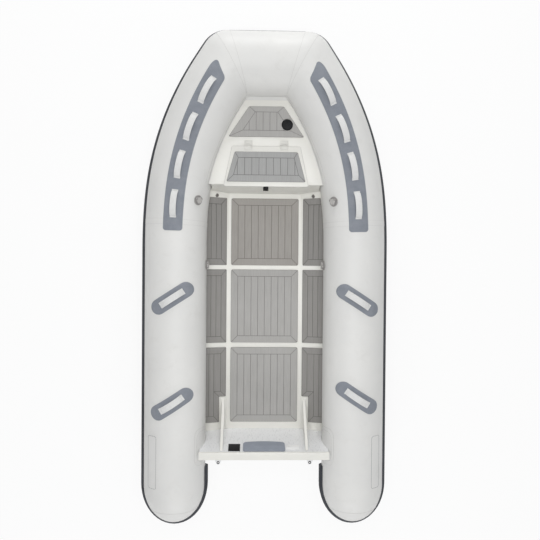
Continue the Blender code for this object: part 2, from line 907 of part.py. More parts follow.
def build_long_straps(materials):
    frames = skin_frames()
    lengths = skin_lengths(frames)
    seat = patch_thickness + 2 * seat_gap
    crown = math.pi / 2
    for side, sign in SIDES.items():
        for order, y in long_strap_y.items():
            middle = distance_at_crown_y(frames, lengths, y)
            lower, upper = [], []
            for u in strap_positions(long_strap_length):
                frame = frame_along(frames, lengths, middle + u)
                lift = arch(u, long_strap_length, long_strap_rise)
                lean = long_strap_lean * lift / long_strap_rise
                low_row, high_row = [], []
                for share in (-1, 0, 1):
                    out = share * long_strap_width / 2
                    angle = crown - math.asin(out / tube_radius)
                    for row, extra in ((low_row, 0.0), (high_row, strap_thickness)):
                        place = frame.point(angle, seat + extra) + frame.outward * lean
                        place.z += lift
                        row.append(Vector((place.x * sign, place.y, place.z)))
                lower.append(low_row)
                upper.append(high_row)
            name = side + "_" + order + "_grip_strap"
            finish(name, grid_sheet(lower, upper), materials["strap_webbing"], 60.0)


def build_short_straps(materials):
    frame = side_frame(cone_base_y)
    for name, (side, y) in short_patch_centres().items():
        centre = Vector((tube_x * SIDES[side], y))
        along = short_patch_direction(side)
        across = Vector((-along.y, along.x))
        lower, upper = [], []
        for u in strap_positions(short_strap_length):
            lift = arch(u, short_strap_length, short_strap_rise)
            low_row, high_row = [], []
            for share in (-1, 1):
                plan = centre + along * u + across * (share * short_strap_width / 2)
                off = abs(plan.x) - tube_x
                skin = frame.point(math.pi / 2 - math.asin(off / tube_radius), patch_thickness)
                height = skin.z + strap_seat + lift
                low_row.append(Vector((plan.x, plan.y, height)))
                high_row.append(Vector((plan.x, plan.y, height + strap_thickness)))
            lower.append(low_row)
            upper.append(high_row)
        finish(name + "_handle_strap", grid_sheet(lower, upper), materials["strap_webbing"], 60.0)


def gunwale_point(frame):
    """Where the hull's side meets the tube, low on its inner side."""
    return frame.point(math.radians(225), hull_to_tube_gap, faceted=False)


def hull_height(y, stem_y, stem_z):
    run = max(0.0, y - keel_rise_start_y) / (stem_y - keel_rise_start_y)
    return stem_z * run ** 2.2


def hull_section(frame, stem_y, stem_z, stern_y=None):
    """Starboard half of a hull section: keel edge, chine, chine flat and gunwale."""
    top = gunwale_point(frame)
    share = min(1.0, max(0.0, top.y - keel_rise_start_y) / (stem_y - keel_rise_start_y))
    keel_x = max(stem_half_width, keel_flat_width / 2 * (1 - share ** 2))
    keel_x = min(keel_x, top.x * 0.6)
    keel = Vector((keel_x, top.y, hull_height(top.y, stem_y, stem_z)))
    chine = keel.lerp(top, 0.80)
    chine.z -= chine_drop * (1 - share)
    flat = keel.lerp(top, 0.88)
    flat.z -= chine_flat_drop * (1 - share)
    section = [keel, chine, flat, top]
    if stern_y is not None:
        for point in section:
            point.y = stern_y - point.z * transom_slope
    return section


def transom_face_y(z):
    """The transom's inner face leans aft with height."""
    return transom_foot_y - (z - deck_height) * transom_slope


def hull_sections():
    stem = gunwale_point(bow_middle_frame())
    stem_y, stem_z = stem.y, stem.z - stem_depth
    stern = transom_face_y(0.0) - transom_run - hull_stern_overhang
    sections = [hull_section(side_frame(cone_base_y), stem_y, stem_z, stern)]
    sections.append(hull_section(side_frame(side_curve_start_y), stem_y, stem_z))
    for frame in curve_frames(chamber_seam_y):
        sections.append(hull_section(frame, stem_y, stem_z))
    return sections


def build_hull(materials):
    mesh = bmesh.new()
    rows = []
    for section in hull_sections():
        port = [Vector((-p.x, p.y, p.z)) for p in reversed(section)]
        rows.append([mesh.verts.new(point) for point in port + section])
    for row, following in zip(rows, rows[1:]):
        for k in range(len(row) - 1):
            mesh.faces.new((row[k], following[k], following[k + 1], row[k + 1]))
    mesh.faces.new(rows[-1])
    obj = finish("hull_shell", mesh, materials["hull_paint"], 12.0)
    if obj.data.polygons[0].normal.z > 0:
        obj.data.flip_normals()
    skin = obj.modifiers.new("skin", "SOLIDIFY")
    skin.thickness = hull_skin
    skin.offset = -1.0
    skin.use_even_offset = True


def tube_point_at_y(y, angle, lift, faceted=False):
    """The point of the starboard skin at this angle whose own y is the one asked for."""
    def ahead(station):
        return side_frame(station).point(angle, lift, faceted).y - y

    station = solve(ahead, -half_length, corner_start_y)
    return side_frame(station).point(angle, lift, faceted)


def deck_stations():
    """Where the deck changes shape: ends, pad rows and even steps through the curved part."""
    fore_row = pad_rows["fore"]
    steps = [fore_row[0] + (fore_row[1] - fore_row[0]) * k / row_steps for k in range(row_steps + 1)]
    wall = [locker_wall_foot_y, locker_wall_foot_y + locker_bay]
    middle_row = pad_rows["middle"]
    return [transom_face_y(deck_height) + seat_gap, middle_row[1]] + steps + wall + [deck_front_y]


def deck_edge(y):
    """Outer edge of the deck: its side rises to the tube, more steeply ahead."""
    fore_row = pad_rows["fore"]
    share = min(1.0, max(0.0, (y - fore_row[0]) / (fore_row[1] - fore_row[0])))
    below = math.radians(30.0 - 9.0 * share)
    return tube_point_at_y(y, math.pi + below, deck_to_tube_gap)


def deck_row(y, lift):
    """Points across the deck at one station: edges and folds, raised or lowered by lift."""
    edge = deck_edge(y)
    row = []
    for x, z in ((-edge.x, edge.z), (-fold_x, deck_height), (fold_x, deck_height), (edge.x, edge.z)):
        aft_end = transom_face_y(z + min(lift, 0.0)) + seat_gap
        place = aft_end if y == deck_stations()[0] else y
        row.append(Vector((x, place, z + lift)))
    return row


def build_deck(materials):
    top = [deck_row(y, 0.0) for y in deck_stations()]
    bottom = [deck_row(y, -deck_thickness) for y in deck_stations()]
    mesh = grid_sheet(bottom, top, turned=(0,))
    finish("deck_panel", mesh, materials["hull_paint"], 5.0)


def hull_inner_z(x):
    """Height of the hull's inner skin in the straight part of the boat."""
    section = hull_sections()[1]
    keel, chine = section[0], section[1]
    slope = (chine.z - keel.z) / (chine.x - keel.x)
    skin = hull_skin * math.sqrt(1 + slope ** 2)
    return max(0.0, x - keel.x) * slope + skin + seat_gap


def build_floor_frame(materials):
    """Two stringers and three cross plates between the hull and the deck."""
    top = deck_height - deck_thickness - seat_gap
    aft = transom_face_y(0.0) + 2 * frame_plate
    stringer_x = stringer_spacing / 2
    inner = hull_inner_z(stringer_x + frame_plate / 2) + seat_gap
    outline = [(aft, inner), (side_curve_start_y, inner), (side_curve_start_y, top), (aft, top)]
    pieces = []
    for sign in (-1, 1):
        base = (sign * stringer_x - frame_plate / 2, 0, 0)
        mesh = prism(outline, base, (0, 1, 0), (0, 0, 1), (frame_plate, 0, 0))
        pieces.append(mesh)
    keel_x = keel_flat_width / 2
    edge = fold_x
    cross = [
        (-edge, hull_inner_z(edge)), (-keel_x, hull_inner_z(0.0)), (keel_x, hull_inner_z(0.0)),
        (edge, hull_inner_z(edge)), (edge, top - seat_gap), (-edge, top - seat_gap),
    ]
    frame = finish("floor_frame", pieces[0], materials["hull_paint"], 20.0)
    join_on(frame, finish("second_stringer", pieces[1], None))
    for name, y in frame_y.items():
        mesh = prism(cross, (0, y, 0), (1, 0, 0), (0, 0, 1), (0, frame_plate, 0))
        join_on(frame, finish(name + "_cross_plate", mesh, None))


def transom_outline(inset):
    """Transom seen from behind: the hull's V below, tubes at both sides, a straight top."""
    section = hull_sections()[1]
    lift = hull_skin + seat_gap + inset
    half = []
    for point in section[:3]:
        half.append((point.x, point.z + lift * 1.1))
    frame = side_frame(cone_base_y)
    steps = corner_arc_steps * 3
    reach = (hull_to_tube_gap + inset) / math.cos(facet_angle / 2)
    side_top = math.acos((tube_x - transom_half_width + inset) / (tube_radius + reach))
    low = math.radians(-38)
    for k in range(steps + 1):
        angle = low + (side_top - low) * k / steps
        place = frame.point(math.pi - angle, reach, faceted=False)
        half.append((place.x, place.z))
    half.append((transom_half_width - inset, transom_height - inset))
    port = [(-x, z) for x, z in reversed(half)]
    return half + port


def transom_prism(outline, depth, push=0.0):
    """A raked solid: each point's y follows the transom's slope."""
    mesh = bmesh.new()
    near = [mesh.verts.new((x, transom_face_y(z) + push, z)) for x, z in outline]
    far = [mesh.verts.new((x, transom_face_y(z) + push - depth, z)) for x, z in outline]
    mesh.faces.new(near)
    mesh.faces.new(far)
    for k in range(len(near)):
        after = (k + 1) % len(near)
        mesh.faces.new((near[k], near[after], far[after], far[k]))
    return mesh


def drain_axis():
    """The drain runs square to the transom's aft face."""
    rake = math.radians(transom_rake_deg)
    face = Vector((0.0, transom_face_y(drain_height) - transom_run, drain_height))
    return face, Vector((0.0, -math.cos(rake), -math.sin(rake)))


def eye_outline():
    base = eye_base_width / 2
    points = [(base, -transom_wall / 2), (base, transom_wall / 2)]
    for k in range(2 * corner_arc_steps + 1):
        turn = math.pi * k / (2 * corner_arc_steps)
        points.append((eye_nose_radius * math.cos(turn), eye_reach + eye_nose_radius * math.sin(turn)))
    points += [(-base, transom_wall / 2), (-base, -transom_wall / 2)]
    return points


def build_transom(materials):
    transom = finish(
        "transom", transom_prism(transom_outline(0.0), transom_run), materials["transom_paint"], 30.0
    )
    hollow = transom_prism(transom_outline(transom_wall), transom_run - 2 * transom_wall, -transom_wall)
    cut(transom, finish("transom_hollow", hollow, None))
    half = transom_half_width + transom_cap_lip
    cap = [
        (-half, transom_height - transom_cap_depth), (half, transom_height - transom_cap_depth),
        (half, transom_height + transom_cap_lip), (-half, transom_height + transom_cap_lip),
    ]
    cap_mesh = transom_prism(cap, transom_run + 2 * transom_cap_lip, transom_cap_lip)
    join_on(transom, finish("transom_cap", cap_mesh, None))
    z = transom_height - eye_drop
    aft = transom_face_y(z) - transom_run
    for side, sign in SIDES.items():
        base = (sign * eye_x, aft, z)
        lug = prism(eye_outline(), base, (1, 0, 0), (0, -1, 0), (0, 0, eye_plate))
        join_on(transom, finish(side + "_eye_lug", lug, None))
        centre = Vector((sign * eye_x, aft - eye_reach, z))
        profile = [(eye_hole_radius, -cut_overrun), (eye_hole_radius, cut_overrun)]
        hole = lathe(profile, centre, (0, 0, 1), small_round_steps)
        cut(transom, finish(side + "_eye_hole", hole, None))
    face, axis = drain_axis()
    profile = [
        (drain_bore_radius, -transom_thickness - cut_overrun), (drain_bore_radius, cut_overrun)
    ]
    cut(transom, finish("drain_bore", lathe(profile, face, axis, round_steps), None))


def build_drain_plug(materials):
    face, axis = drain_axis()
    seat = seat_gap
    profile = [
        (drain_plug_radius - drain_grip / 2, -drain_plug_depth),
        (drain_plug_radius, -drain_plug_depth + drain_grip),
        (drain_plug_radius, seat),
        (drain_head_radius, seat),
        (drain_head_radius, seat + drain_grip),
        (drain_head_radius - drain_grip, seat + 2 * drain_grip),
        (drain_head_radius - 2 * drain_grip, seat + drain_head_height),
    ]
    plug = finish(
        "drain_plug", lathe(profile, face, axis, round_steps), materials["black_plastic"]
    )
    hang_on_axis(plug, face, "drain_plug_axis")


def knee_seat(x):
    """Height of the deck's sloping side under the knees, with a small gap."""
    edge = deck_edge(knee_foot_y)
    slope = (edge.z - deck_height) / (edge.x - fold_x)
    return deck_height + (abs(x) - fold_x) * slope + seat_gap


def build_knees(materials):
    """Braces from the deck to the transom: a web with a folded cap and a foot."""
    half = knee_flange_width / 2
    foot_half = knee_foot_width / 2
    web_foot = knee_seat(knee_x + knee_plate / 2) + knee_sole / 2
    low_z = knee_seat(knee_x + half) + seat_gap
    top_z = transom_height - knee_top_drop
    back_low = transom_face_y(web_foot) + seat_gap
    back_high = transom_face_y(top_z) + seat_gap
    run = Vector((0.0, back_high - knee_foot_y, top_z - low_z))
    square = Vector((0.0, run.z, -run.y)).normalized() * knee_flange_thickness
    for side, sign in SIDES.items():
        x = sign * knee_x
        web = [(knee_foot_y, web_foot), (back_low, web_foot), (back_high, top_z)]
        base = (x - knee_plate / 2, 0, 0)
        mesh = prism(web, base, (0, 1, 0), (0, 0, 1), (knee_plate, 0, 0))
        knee = finish(side + "_transom_knee", mesh, materials["hull_paint"], 20.0)
        low = Vector((0.0, knee_foot_y, low_z))
        high = Vector((0.0, back_high, top_z))
        corners = []
        for point in (low, low + square, high + square, high):
            corners.append((max(point.y, transom_face_y(point.z) + seat_gap), point.z))
        mesh = prism(corners, (x - half, 0, 0), (0, 1, 0), (0, 0, 1), (knee_flange_width, 0, 0))
        join_on(knee, finish(side + "_knee_cap", mesh, None))
        aft = transom_face_y(knee_seat(knee_x - foot_half)) + seat_gap
        foot = rounded(
            [
                (x - foot_half, aft), (x + foot_half, aft),
                (x + foot_half, knee_foot_y + foot_half), (x - foot_half, knee_foot_y + foot_half),
            ],
            [0.0, 0.0, foot_half / 2, foot_half / 2],
        )
        mesh = plate(foot, 0.0, knee_sole)
        for vertex in mesh.verts:
            vertex.co.z += knee_seat(vertex.co.x)
        join_on(knee, finish(side + "_knee_foot", mesh, None))


def build_motor_pad(materials):
    rake = math.radians(transom_rake_deg)
    up = Vector((0.0, -math.sin(rake), math.cos(rake)))
    inward = Vector((0.0, math.cos(rake), math.sin(rake)))
    top_z = transom_height - transom_cap_depth - motor_pad_top_drop
    top = Vector((0.0, transom_face_y(top_z), top_z)) + inward * seat_gap
    half = motor_pad_width / 2
    low = []
    for k in range(1, 2 * corner_arc_steps):
        share = k / corner_arc_steps - 1
        low.append((-half * share, -motor_pad_height - motor_pad_crown * (1 - share ** 2)))
    points = [(-half, 0.0), (-half, -motor_pad_height)] + list(reversed(low))
    points += [(half, -motor_pad_height), (half, 0.0)]
    radii = [motor_pad_corner / 2, motor_pad_corner] + [0.0] * len(low)
    radii += [motor_pad_corner, motor_pad_corner / 2]
    outline = rounded(points, radii)
    mesh = prism(outline, top, (1, 0, 0), up, inward * motor_pad_thickness)
    finish("motor_pad", mesh, materials["motor_pad_plastic"])


def build_centre_pads(materials):
    half = centre_pad_width / 2
    for row, (aft, fore) in pad_rows.items():
        outline = rounded([(-half, aft), (half, aft), (half, fore), (-half, fore)], pad_corner_radius)
        mesh = plate(outline, deck_height + seat_gap, pad_thickness)
        finish(row + "_centre_pad", mesh, materials["deck_foam"])


def side_pad_outline(row):
    """Plan outline of the starboard side pad, notched beside the knee in the aft row."""
    aft, fore = pad_rows[row]
    inner = side_pad_x
    lines = [aft] + [y for y in deck_stations() if aft < y < fore] + [fore]
    outer = [(deck_edge(y).x - side_pad_edge_gap, y) for y in lines]
    radii = [pad_corner_radius] + [0.0] * (len(outer) - 2) + [pad_corner_radius]
    start = [(inner, aft)]
    end = [(inner, fore)]
    if row == "aft":
        bay = inner + knee_bay_width
        start = [(bay, aft)]
        end += [(inner, knee_bay_y), (bay, knee_bay_y)]
    points = start + outer + end
    radii = [pad_corner_radius] + radii + [pad_corner_radius] * len(end)
    return rounded(points, radii)


def build_side_pads(materials):
    """Each pad is cut from a sheet that lies along the whole side of the deck."""
    for side, sign in SIDES.items():
        columns = slice(2, 4) if sign > 0 else slice(0, 2)
        for row in pad_rows:
            low = [deck_row(y, side_pad_seat)[columns] for y in deck_stations()]
            high = [deck_row(y, side_pad_seat + pad_thickness)[columns] for y in deck_stations()]
            name = side + "_" + row + "_side_pad"
            sheet = grid_sheet(low, high, turned=() if sign > 0 else (0,))
            pad = finish(name, sheet, materials["deck_foam"])
            outline = [(sign * x, y) for x, y in side_pad_outline(row)]
            mesh = plate(outline, deck_height - cut_overrun, tube_axis_height)
            cut(pad, finish(name + "_outline", mesh, None), "INTERSECT")


def side_pad_height(x, y):
    """Height of the deck's side at this place, between two of its stations."""
    stations = deck_stations()
    for low, high in zip(stations, stations[1:]):
        if low <= y <= high:
            break
    heights = []
    for place in (low, high):
        edge = deck_edge(place)
        heights.append(deck_height + (edge.z - deck_height) * (x - fold_x) / (edge.x - fold_x))
    return heights[0] + (heights[1] - heights[0]) * (y - low) / (high - low)


def inner_side(y, z, gap):
    """Distance from the middle line to the tube's inner side at this height."""
    def above(turn):
        return tube_point_at_y(y, math.pi - turn, gap).z - z

    turn = solve(above, -1.0, 1.0)
    return tube_point_at_y(y, math.pi - turn, gap).x


def locker_half_width(y):
    return inner_side(y, locker_height, locker_side_gap)


lid_aft_width = 2 * (locker_half_width(lid_aft_y) - lid_aft_side_gap)
lid_front_width = 2 * (locker_half_width(lid_front_y) - lid_front_side_gap)
lid_pad_aft_width = lid_aft_width - 2 * lid_pad_aft_margin
lid_pad_front_width = lid_front_width - 2 * lid_pad_front_margin
foredeck_pad_aft_width = 2 * (locker_half_width(foredeck_pad_aft_y) - foredeck_pad_aft_margin)
foredeck_pad_front_width = 2 * (locker_half_width(foredeck_pad_front_y) - foredeck_pad_front_margin)
hinge_x = lid_front_width * hinge_place_share
deck_port_x = locker_half_width(deck_port_y) - deck_port_side_gap


def locker_outline(z, gap):
    """Plan outline of the bow locker, kept off the tubes at height z, or off their widest line."""
    frame_count = 7
    front_y = bow_axis_y - tube_radius - locker_front_gap
    half = []
    for k in range(frame_count):
        y = locker_aft_y + (front_y - locker_aft_y) * k / (frame_count - 1)
        x = tube_point_at_y(y, math.pi, gap).x if z is None else inner_side(y, z, gap)
        half.append((x, y))
    port = [(-x, y) for x, y in reversed(half)]
    return half + port


def trapezoid(aft_y, fore_y, aft_width, fore_width, inset=0.0):
    low, high = aft_y + inset, fore_y - inset
    return [
        (-aft_width / 2 + inset, low), (aft_width / 2 - inset, low),
        (fore_width / 2 - inset, high), (-fore_width / 2 + inset, high),
    ]


def lid_outline(inset=0.0, aft_y=None):
    aft = lid_aft_y if aft_y is None else aft_y
    return trapezoid(aft, lid_front_y, lid_aft_width, lid_front_width, inset)


def wall_lean():
    """How far the locker's aft wall comes forward per metre of height."""
    return (locker_aft_y - locker_wall_foot_y) / (locker_under - deck_height)


def wall_y(z):
    return locker_wall_foot_y + (z - deck_height) * wall_lean()


def skirt_mesh():
    """The locker's side walls, from the top plate down between the tubes."""
    outline = locker_outline(None, locker_skirt_inset)
    front = max(y for x, y in outline) - locker_plate / 3
    slope = (outline[1][0] - outline[0][0]) / (outline[1][1] - outline[0][1])
    rings = []
    for z in (locker_skirt_foot, locker_height):
        aft = wall_y(z) + locker_plate / 2
        reach = outline[0][0] + (aft - outline[0][1]) * slope
        middle = [(x, min(y, front)) for x, y in outline[1:-1]]
        ring = [(reach, aft)] + middle + [(-reach, aft)]
        rings.append([Vector((x, y, z)) for x, y in ring])
    return loft(rings)


def build_locker(materials):
    top = plate(locker_outline(locker_height, locker_side_gap), locker_under, locker_plate)
    locker = finish("bow_locker", top, materials["hull_paint"], 20.0)
    join_on(locker, finish("locker_skirt", skirt_mesh(), None))
    inner_line = locker_outline(None, locker_skirt_inset + locker_plate)
    front_y = bow_axis_y - tube_radius - locker_front_gap - locker_plate
    inner_line = [(x, min(y, front_y)) for x, y in inner_line]
    aft = locker_wall_foot_y - locker_plate
    reach = inner_line[0][0]
    inner_line = [(reach, aft)] + inner_line + [(-reach, aft)]
    height = locker_height - locker_skirt_foot
    depth = height + cut_overrun - locker_plate / 2 - seat_gap
    inner = plate(inner_line, locker_skirt_foot - cut_overrun, depth)
    cut(locker, finish("locker_inside", inner, None))
    edge = deck_edge(locker_wall_foot_y)
    narrow = tube_point_at_y(locker_aft_y, math.pi, locker_skirt_inset - locker_plate / 2).x
    seat = deck_height + side_pad_seat
    low_x = edge.x - side_pad_edge_gap
    low_z = side_pad_height(low_x, wall_y(edge.z) + 2 * locker_plate) + side_pad_seat
    high_z = locker_height - locker_plate / 4
    half = [(fold_x, seat), (low_x, low_z), (narrow, axis_height(locker_aft_y)), (narrow, high_z)]
    outline = half + [(-x, z) for x, z in reversed(half)]
    mesh = bmesh.new()
    near = [mesh.verts.new((x, wall_y(z), z)) for x, z in outline]
    far = [mesh.verts.new((x, wall_y(z) + locker_plate, z)) for x, z in outline]
    mesh.faces.new(near)
    mesh.faces.new(far)
    for k in range(len(near)):
        after = (k + 1) % len(near)
        mesh.faces.new((near[k], near[after], far[after], far[k]))
    join_on(locker, finish("locker_aft_wall", mesh, None))
    opening = lid_outline(lid_rim_inset, locker_aft_y)
    opening = rounded(opening, lid_corner_radius)
    depth = locker_plate + 2 * cut_overrun
    cut(locker, finish("locker_opening", plate(opening, locker_under - cut_overrun, depth), None))
    hole = deck_port_neck_radius + deck_port_hole_gap
    profile = [(hole, -cut_overrun), (hole, cut_overrun)]
    centre = (deck_port_x, deck_port_y, locker_height)
    cut(locker, finish("deck_port_hole", lathe(profile, centre, (0, 0, 1), round_steps), None))


def build_lid(materials):
    outline = rounded(lid_outline(), lid_corner_radius)
    lid = finish("locker_lid", plate(outline, lid_bottom, lid_plate), materials["hull_paint"], 20.0)
    inset = lid_rim_inset + lid_coaming_gap
    outer = rounded(lid_outline(inset, locker_aft_y), lid_corner_radius)
    inner = rounded(lid_outline(inset + lid_coaming_wall, locker_aft_y), lid_corner_radius / 2)
    foot = lid_bottom - lid_coaming_depth
    depth = lid_coaming_depth + lid_plate / 2
    join_on(lid, finish("lid_coaming", plate(outer, foot, depth), None))
    hollow = plate(inner, foot - cut_overrun, cut_overrun + lid_coaming_depth)
    cut(lid, finish("lid_hollow", hollow, None))
    half = lid_aft_width / 2 - lid_corner_radius
    lip = [(-half, lid_aft_y), (half, lid_aft_y), (half, lid_aft_y + lid_lip_wall)]
    lip.append((-half, lid_aft_y + lid_lip_wall))
    depth = lid_lip_depth + lid_plate / 2
    join_on(lid, finish("lid_lip", plate(lip, lid_bottom - lid_lip_depth, depth), None))
    hang_on_axis(lid, (0.0, hinge_axis_y, hinge_axis_z), "lid_axis")


def build_top_pads(materials):
    line = trapezoid(lid_pad_aft_y, lid_pad_front_y, lid_pad_aft_width, lid_pad_front_width)
    mesh = plate(rounded(line, pad_corner_radius), lid_top + seat_gap, pad_thickness)
    pad = finish("lid_pad", mesh, materials["deck_foam"])
    hang_on_axis(pad, (0.0, hinge_axis_y, hinge_axis_z), "lid_pad_axis")
    line = trapezoid(
        foredeck_pad_aft_y, foredeck_pad_front_y, foredeck_pad_aft_width, foredeck_pad_front_width
    )
    mesh = plate(rounded(line, pad_corner_radius), locker_top + seat_gap, pad_thickness)
    pad = finish("foredeck_pad", mesh, materials["deck_foam"])
    radius = deck_port_flange_radius + deck_port_pad_gap
    profile = [(radius, -cut_overrun), (radius, cut_overrun)]
    centre = (deck_port_x, deck_port_y, locker_top)
    cut(pad, finish("foredeck_pad_hole", lathe(profile, centre, (0, 0, 1), round_steps), None))


def x_cylinder(radius, x_low, x_high, y, z, steps=small_round_steps):
    profile = [(radius, 0.0), (radius, x_high - x_low)]
    return lathe(profile, (x_low, y, z), (1, 0, 0), steps, (0, 0, 1))


def build_hinges(materials):
    """Butt hinges: the fixed leaf has the outer knuckles and the pin, the lid's leaf the middle one."""
    third = hinge_width / 3
    swing = hinge_barrel_radius + hinge_swing_gap
    y, z = hinge_axis_y, hinge_axis_z
    for side, sign in SIDES.items():
        x = sign * hinge_x
        low = x - hinge_width / 2
        seat = locker_top + seat_gap
        fixed_top = seat + 2 * hinge_leaf_thickness
        leaf = rounded(
            [(low, y + swing), (low + hinge_width, y + swing),
             (low + hinge_width, y + hinge_leaf_length), (low, y + hinge_leaf_length)],
            [0.0, 0.0, hinge_leaf_thickness, hinge_leaf_thickness], 3,
        )
        fixed = finish(
            side + "_hinge_base", plate(leaf, seat, fixed_top - seat), materials["hinge_plastic"]
        )
        for start in (low, low + hinge_width - third + hinge_knuckle_gap):
            end = start + third - hinge_knuckle_gap
            arm = [(y, z - hinge_barrel_radius * 0.6), (y + swing * 1.4, z - hinge_barrel_radius * 0.6),
                   (y + swing * 1.4, fixed_top - seat_gap), (y, fixed_top - seat_gap)]
            mesh = prism(arm, (start + seat_gap, 0, 0), (0, 1, 0), (0, 0, 1),
                         (end - start - 2 * seat_gap, 0, 0))
            join_on(fixed, finish(side + "_knuckle_arm" + str(start > low), mesh, None))
            mesh = x_cylinder(hinge_barrel_radius, start, end, y, z)
            join_on(fixed, finish(side + "_knuckle" + str(start > low), mesh, None))
        pin = x_cylinder(hinge_pin_radius, low + third / 2, low + hinge_width - third / 2, y, z)
        join_on(fixed, finish(side + "_hinge_pin", pin, None))
        lid_seat = lid_top + seat_gap
        leaf = rounded(
            [(low, y - hinge_leaf_length), (low + hinge_width, y - hinge_leaf_length),
             (low + hinge_width, y - swing), (low, y - swing)],
            [hinge_leaf_thickness, hinge_leaf_thickness, 0.0, 0.0], 3,
        )
        moving = finish(
            side + "_hinge_leaf", plate(leaf, lid_seat, hinge_leaf_thickness), materials["hinge_plastic"]
        )
        start = low + third + hinge_knuckle_gap
        end = low + 2 * third - hinge_knuckle_gap
        arm = [(y - swing * 1.4, lid_seat + seat_gap), (y, lid_seat + seat_gap),
               (y, z), (y - swing * 1.4, lid_seat + hinge_leaf_thickness - seat_gap)]
        mesh = prism(arm, (start + seat_gap, 0, 0), (0, 1, 0), (0, 0, 1),
                     (end - start - 2 * seat_gap, 0, 0))
        join_on(moving, finish(side + "_leaf_arm", mesh, None))
        mesh = x_cylinder(hinge_barrel_radius, start, end, y, z)
        join_on(moving, finish(side + "_leaf_knuckle", mesh, None))
        bore = hinge_pin_radius + hinge_pin_gap
        mesh = x_cylinder(bore, start - cut_overrun / 4, end + cut_overrun / 4, y, z)
        cut(moving, finish(side + "_leaf_bore", mesh, None))
        hang_on_axis(moving, (x, y, z), side + "_hinge_leaf_axis")


def wall_frame(z):
    """Origin and directions on the locker's aft wall: up along it and out of it."""
    lean = math.atan(wall_lean())
    up = Vector((0.0, math.sin(lean), math.cos(lean)))
    out = Vector((0.0, -math.cos(lean), math.sin(lean)))
    return Vector((0.0, wall_y(z), z)), up, out


def build_latch(materials):
    """A pull latch: a base with two ears and a lever whose nose covers the lid's lip."""
    top_z = locker_under - latch_top_gap
    top, up, out = wall_frame(top_z)
    half = latch_width / 2
    base_points = [(-half, 0.0), (-half, -latch_height), (half, -latch_height), (half, 0.0)]
    seat = top + out * seat_gap
    mesh = prism(rounded(base_points, latch_plate), seat, (1, 0, 0), up, out * latch_plate)
    base = finish("latch_base", mesh, materials["black_plastic"])
    reach = latch_plate + latch_ear_reach
    pin_out = reach - latch_barrel_radius
    pin_up = -latch_height + latch_ear_height / 2
    for name, start in (("port", -half), ("starboard", half - latch_ear_width)):
        foot = seat + Vector((start, 0, 0)) + up * -latch_height
        ear = rounded(
            [(latch_plate / 2, latch_plate / 2), (reach, latch_plate / 2),
             (reach, latch_ear_height), (latch_plate / 2, latch_ear_height)],
            [0.0, latch_barrel_radius, latch_barrel_radius, 0.0], 3,
        )
        mesh = prism(ear, foot, out, up, (latch_ear_width, 0, 0))
        join_on(base, finish(name + "_latch_ear", mesh, None))
    axis = seat + out * pin_out + up * pin_up
    first = out
    span = latch_width - latch_ear_width
    profile = [(latch_pin_radius, -span / 2), (latch_pin_radius, span / 2)]
    join_on(base, finish("latch_pin", lathe(profile, axis, (1, 0, 0), small_round_steps, first), None))
    inner_half = half - latch_ear_width - latch_side_gap
    arm_low = latch_plate + latch_arm_gap
    arm_top = latch_top_gap + lid_lip_depth * 0.4
    overhang = lid_overhang + latch_arm_gap * 2
    side = [
        (pin_out - latch_barrel_radius * 0.8, pin_up), (arm_low, pin_up + latch_barrel_radius * 1.5),
        (arm_low, -latch_plate), (overhang, 0.0), (overhang, arm_top),
        (overhang + latch_arm_thickness, arm_top),
        (overhang + latch_grip_thickness, arm_top - latch_grip_height),
        (arm_low + latch_arm_thickness, -latch_grip_height - latch_plate),
        (pin_out + latch_barrel_radius * 0.8, pin_up),
    ]
    mesh = prism(side, seat + Vector((-inner_half, 0, 0)), out, up, (2 * inner_half, 0, 0))
    lever = finish("latch_lever", mesh, materials["black_plastic"])
    profile = [(latch_barrel_radius, -inner_half - seat_gap), (latch_barrel_radius, inner_half + seat_gap)]
    join_on(lever, finish("latch_barrel", lathe(profile, axis, (1, 0, 0), small_round_steps, first), None))
    bore = latch_pin_radius + latch_pin_gap
    profile = [(bore, -half), (bore, half)]
    cut(lever, finish("latch_bore", lathe(profile, axis, (1, 0, 0), small_round_steps, first), None))
    hang_on_axis(lever, axis, "latch_lever_axis")


def build_deck_port(materials):
    centre = Vector((deck_port_x, deck_port_y, locker_top + seat_gap))
    inner = deck_port_neck_radius - deck_port_neck_wall
    profile = [
        (inner / 2, deck_port_neck_wall - deck_port_neck_depth),
        (inner, deck_port_neck_wall - deck_port_neck_depth),
        (inner, deck_port_flange_thickness),
        (deck_port_flange_radius - deck_port_neck_wall / 2, deck_port_flange_thickness),
        (deck_port_flange_radius, deck_port_flange_thickness / 2),
        (deck_port_flange_radius, 0.0),
        (deck_port_neck_radius, 0.0),
        (deck_port_neck_radius, -deck_port_neck_depth),
        (inner / 2, -deck_port_neck_depth),
    ]
    finish("deck_port", lathe(profile, centre, (0, 0, 1), round_steps), materials["black_plastic"])
    base = deck_port_flange_thickness + valve_turn_gap
    plug = inner - valve_plug_gap
    profile = [
        (plug, -deck_port_neck_depth / 2),
        (plug, base),
        (deck_port_cap_radius, base),
        (deck_port_cap_radius, base + deck_port_cap_height / 2),
        (deck_port_cap_radius - deck_port_cap_height / 2, base + deck_port_cap_height),
    ]
    cap = finish(
        "deck_port_cap", lathe(profile, centre, (0, 0, 1), round_steps), materials["black_plastic"]
    )
    reach = deck_port_cap_radius - deck_port_cap_height
    half = deck_port_bar_width / 2
    bar = rounded([(-reach, -half), (reach, -half), (reach, half), (-reach, half)], half * 0.9)
    turn = math.radians(45)
    mesh = prism(
        bar, centre + Vector((0, 0, base + deck_port_cap_height / 2)),
        (math.cos(turn), math.sin(turn), 0), (-math.sin(turn), math.cos(turn), 0),
        (0, 0, deck_port_cap_height / 2 + deck_port_bar_height),
    )
    join_on(cap, finish("deck_port_bar", mesh, None))
    hang_on_axis(cap, centre, "deck_port_axis")


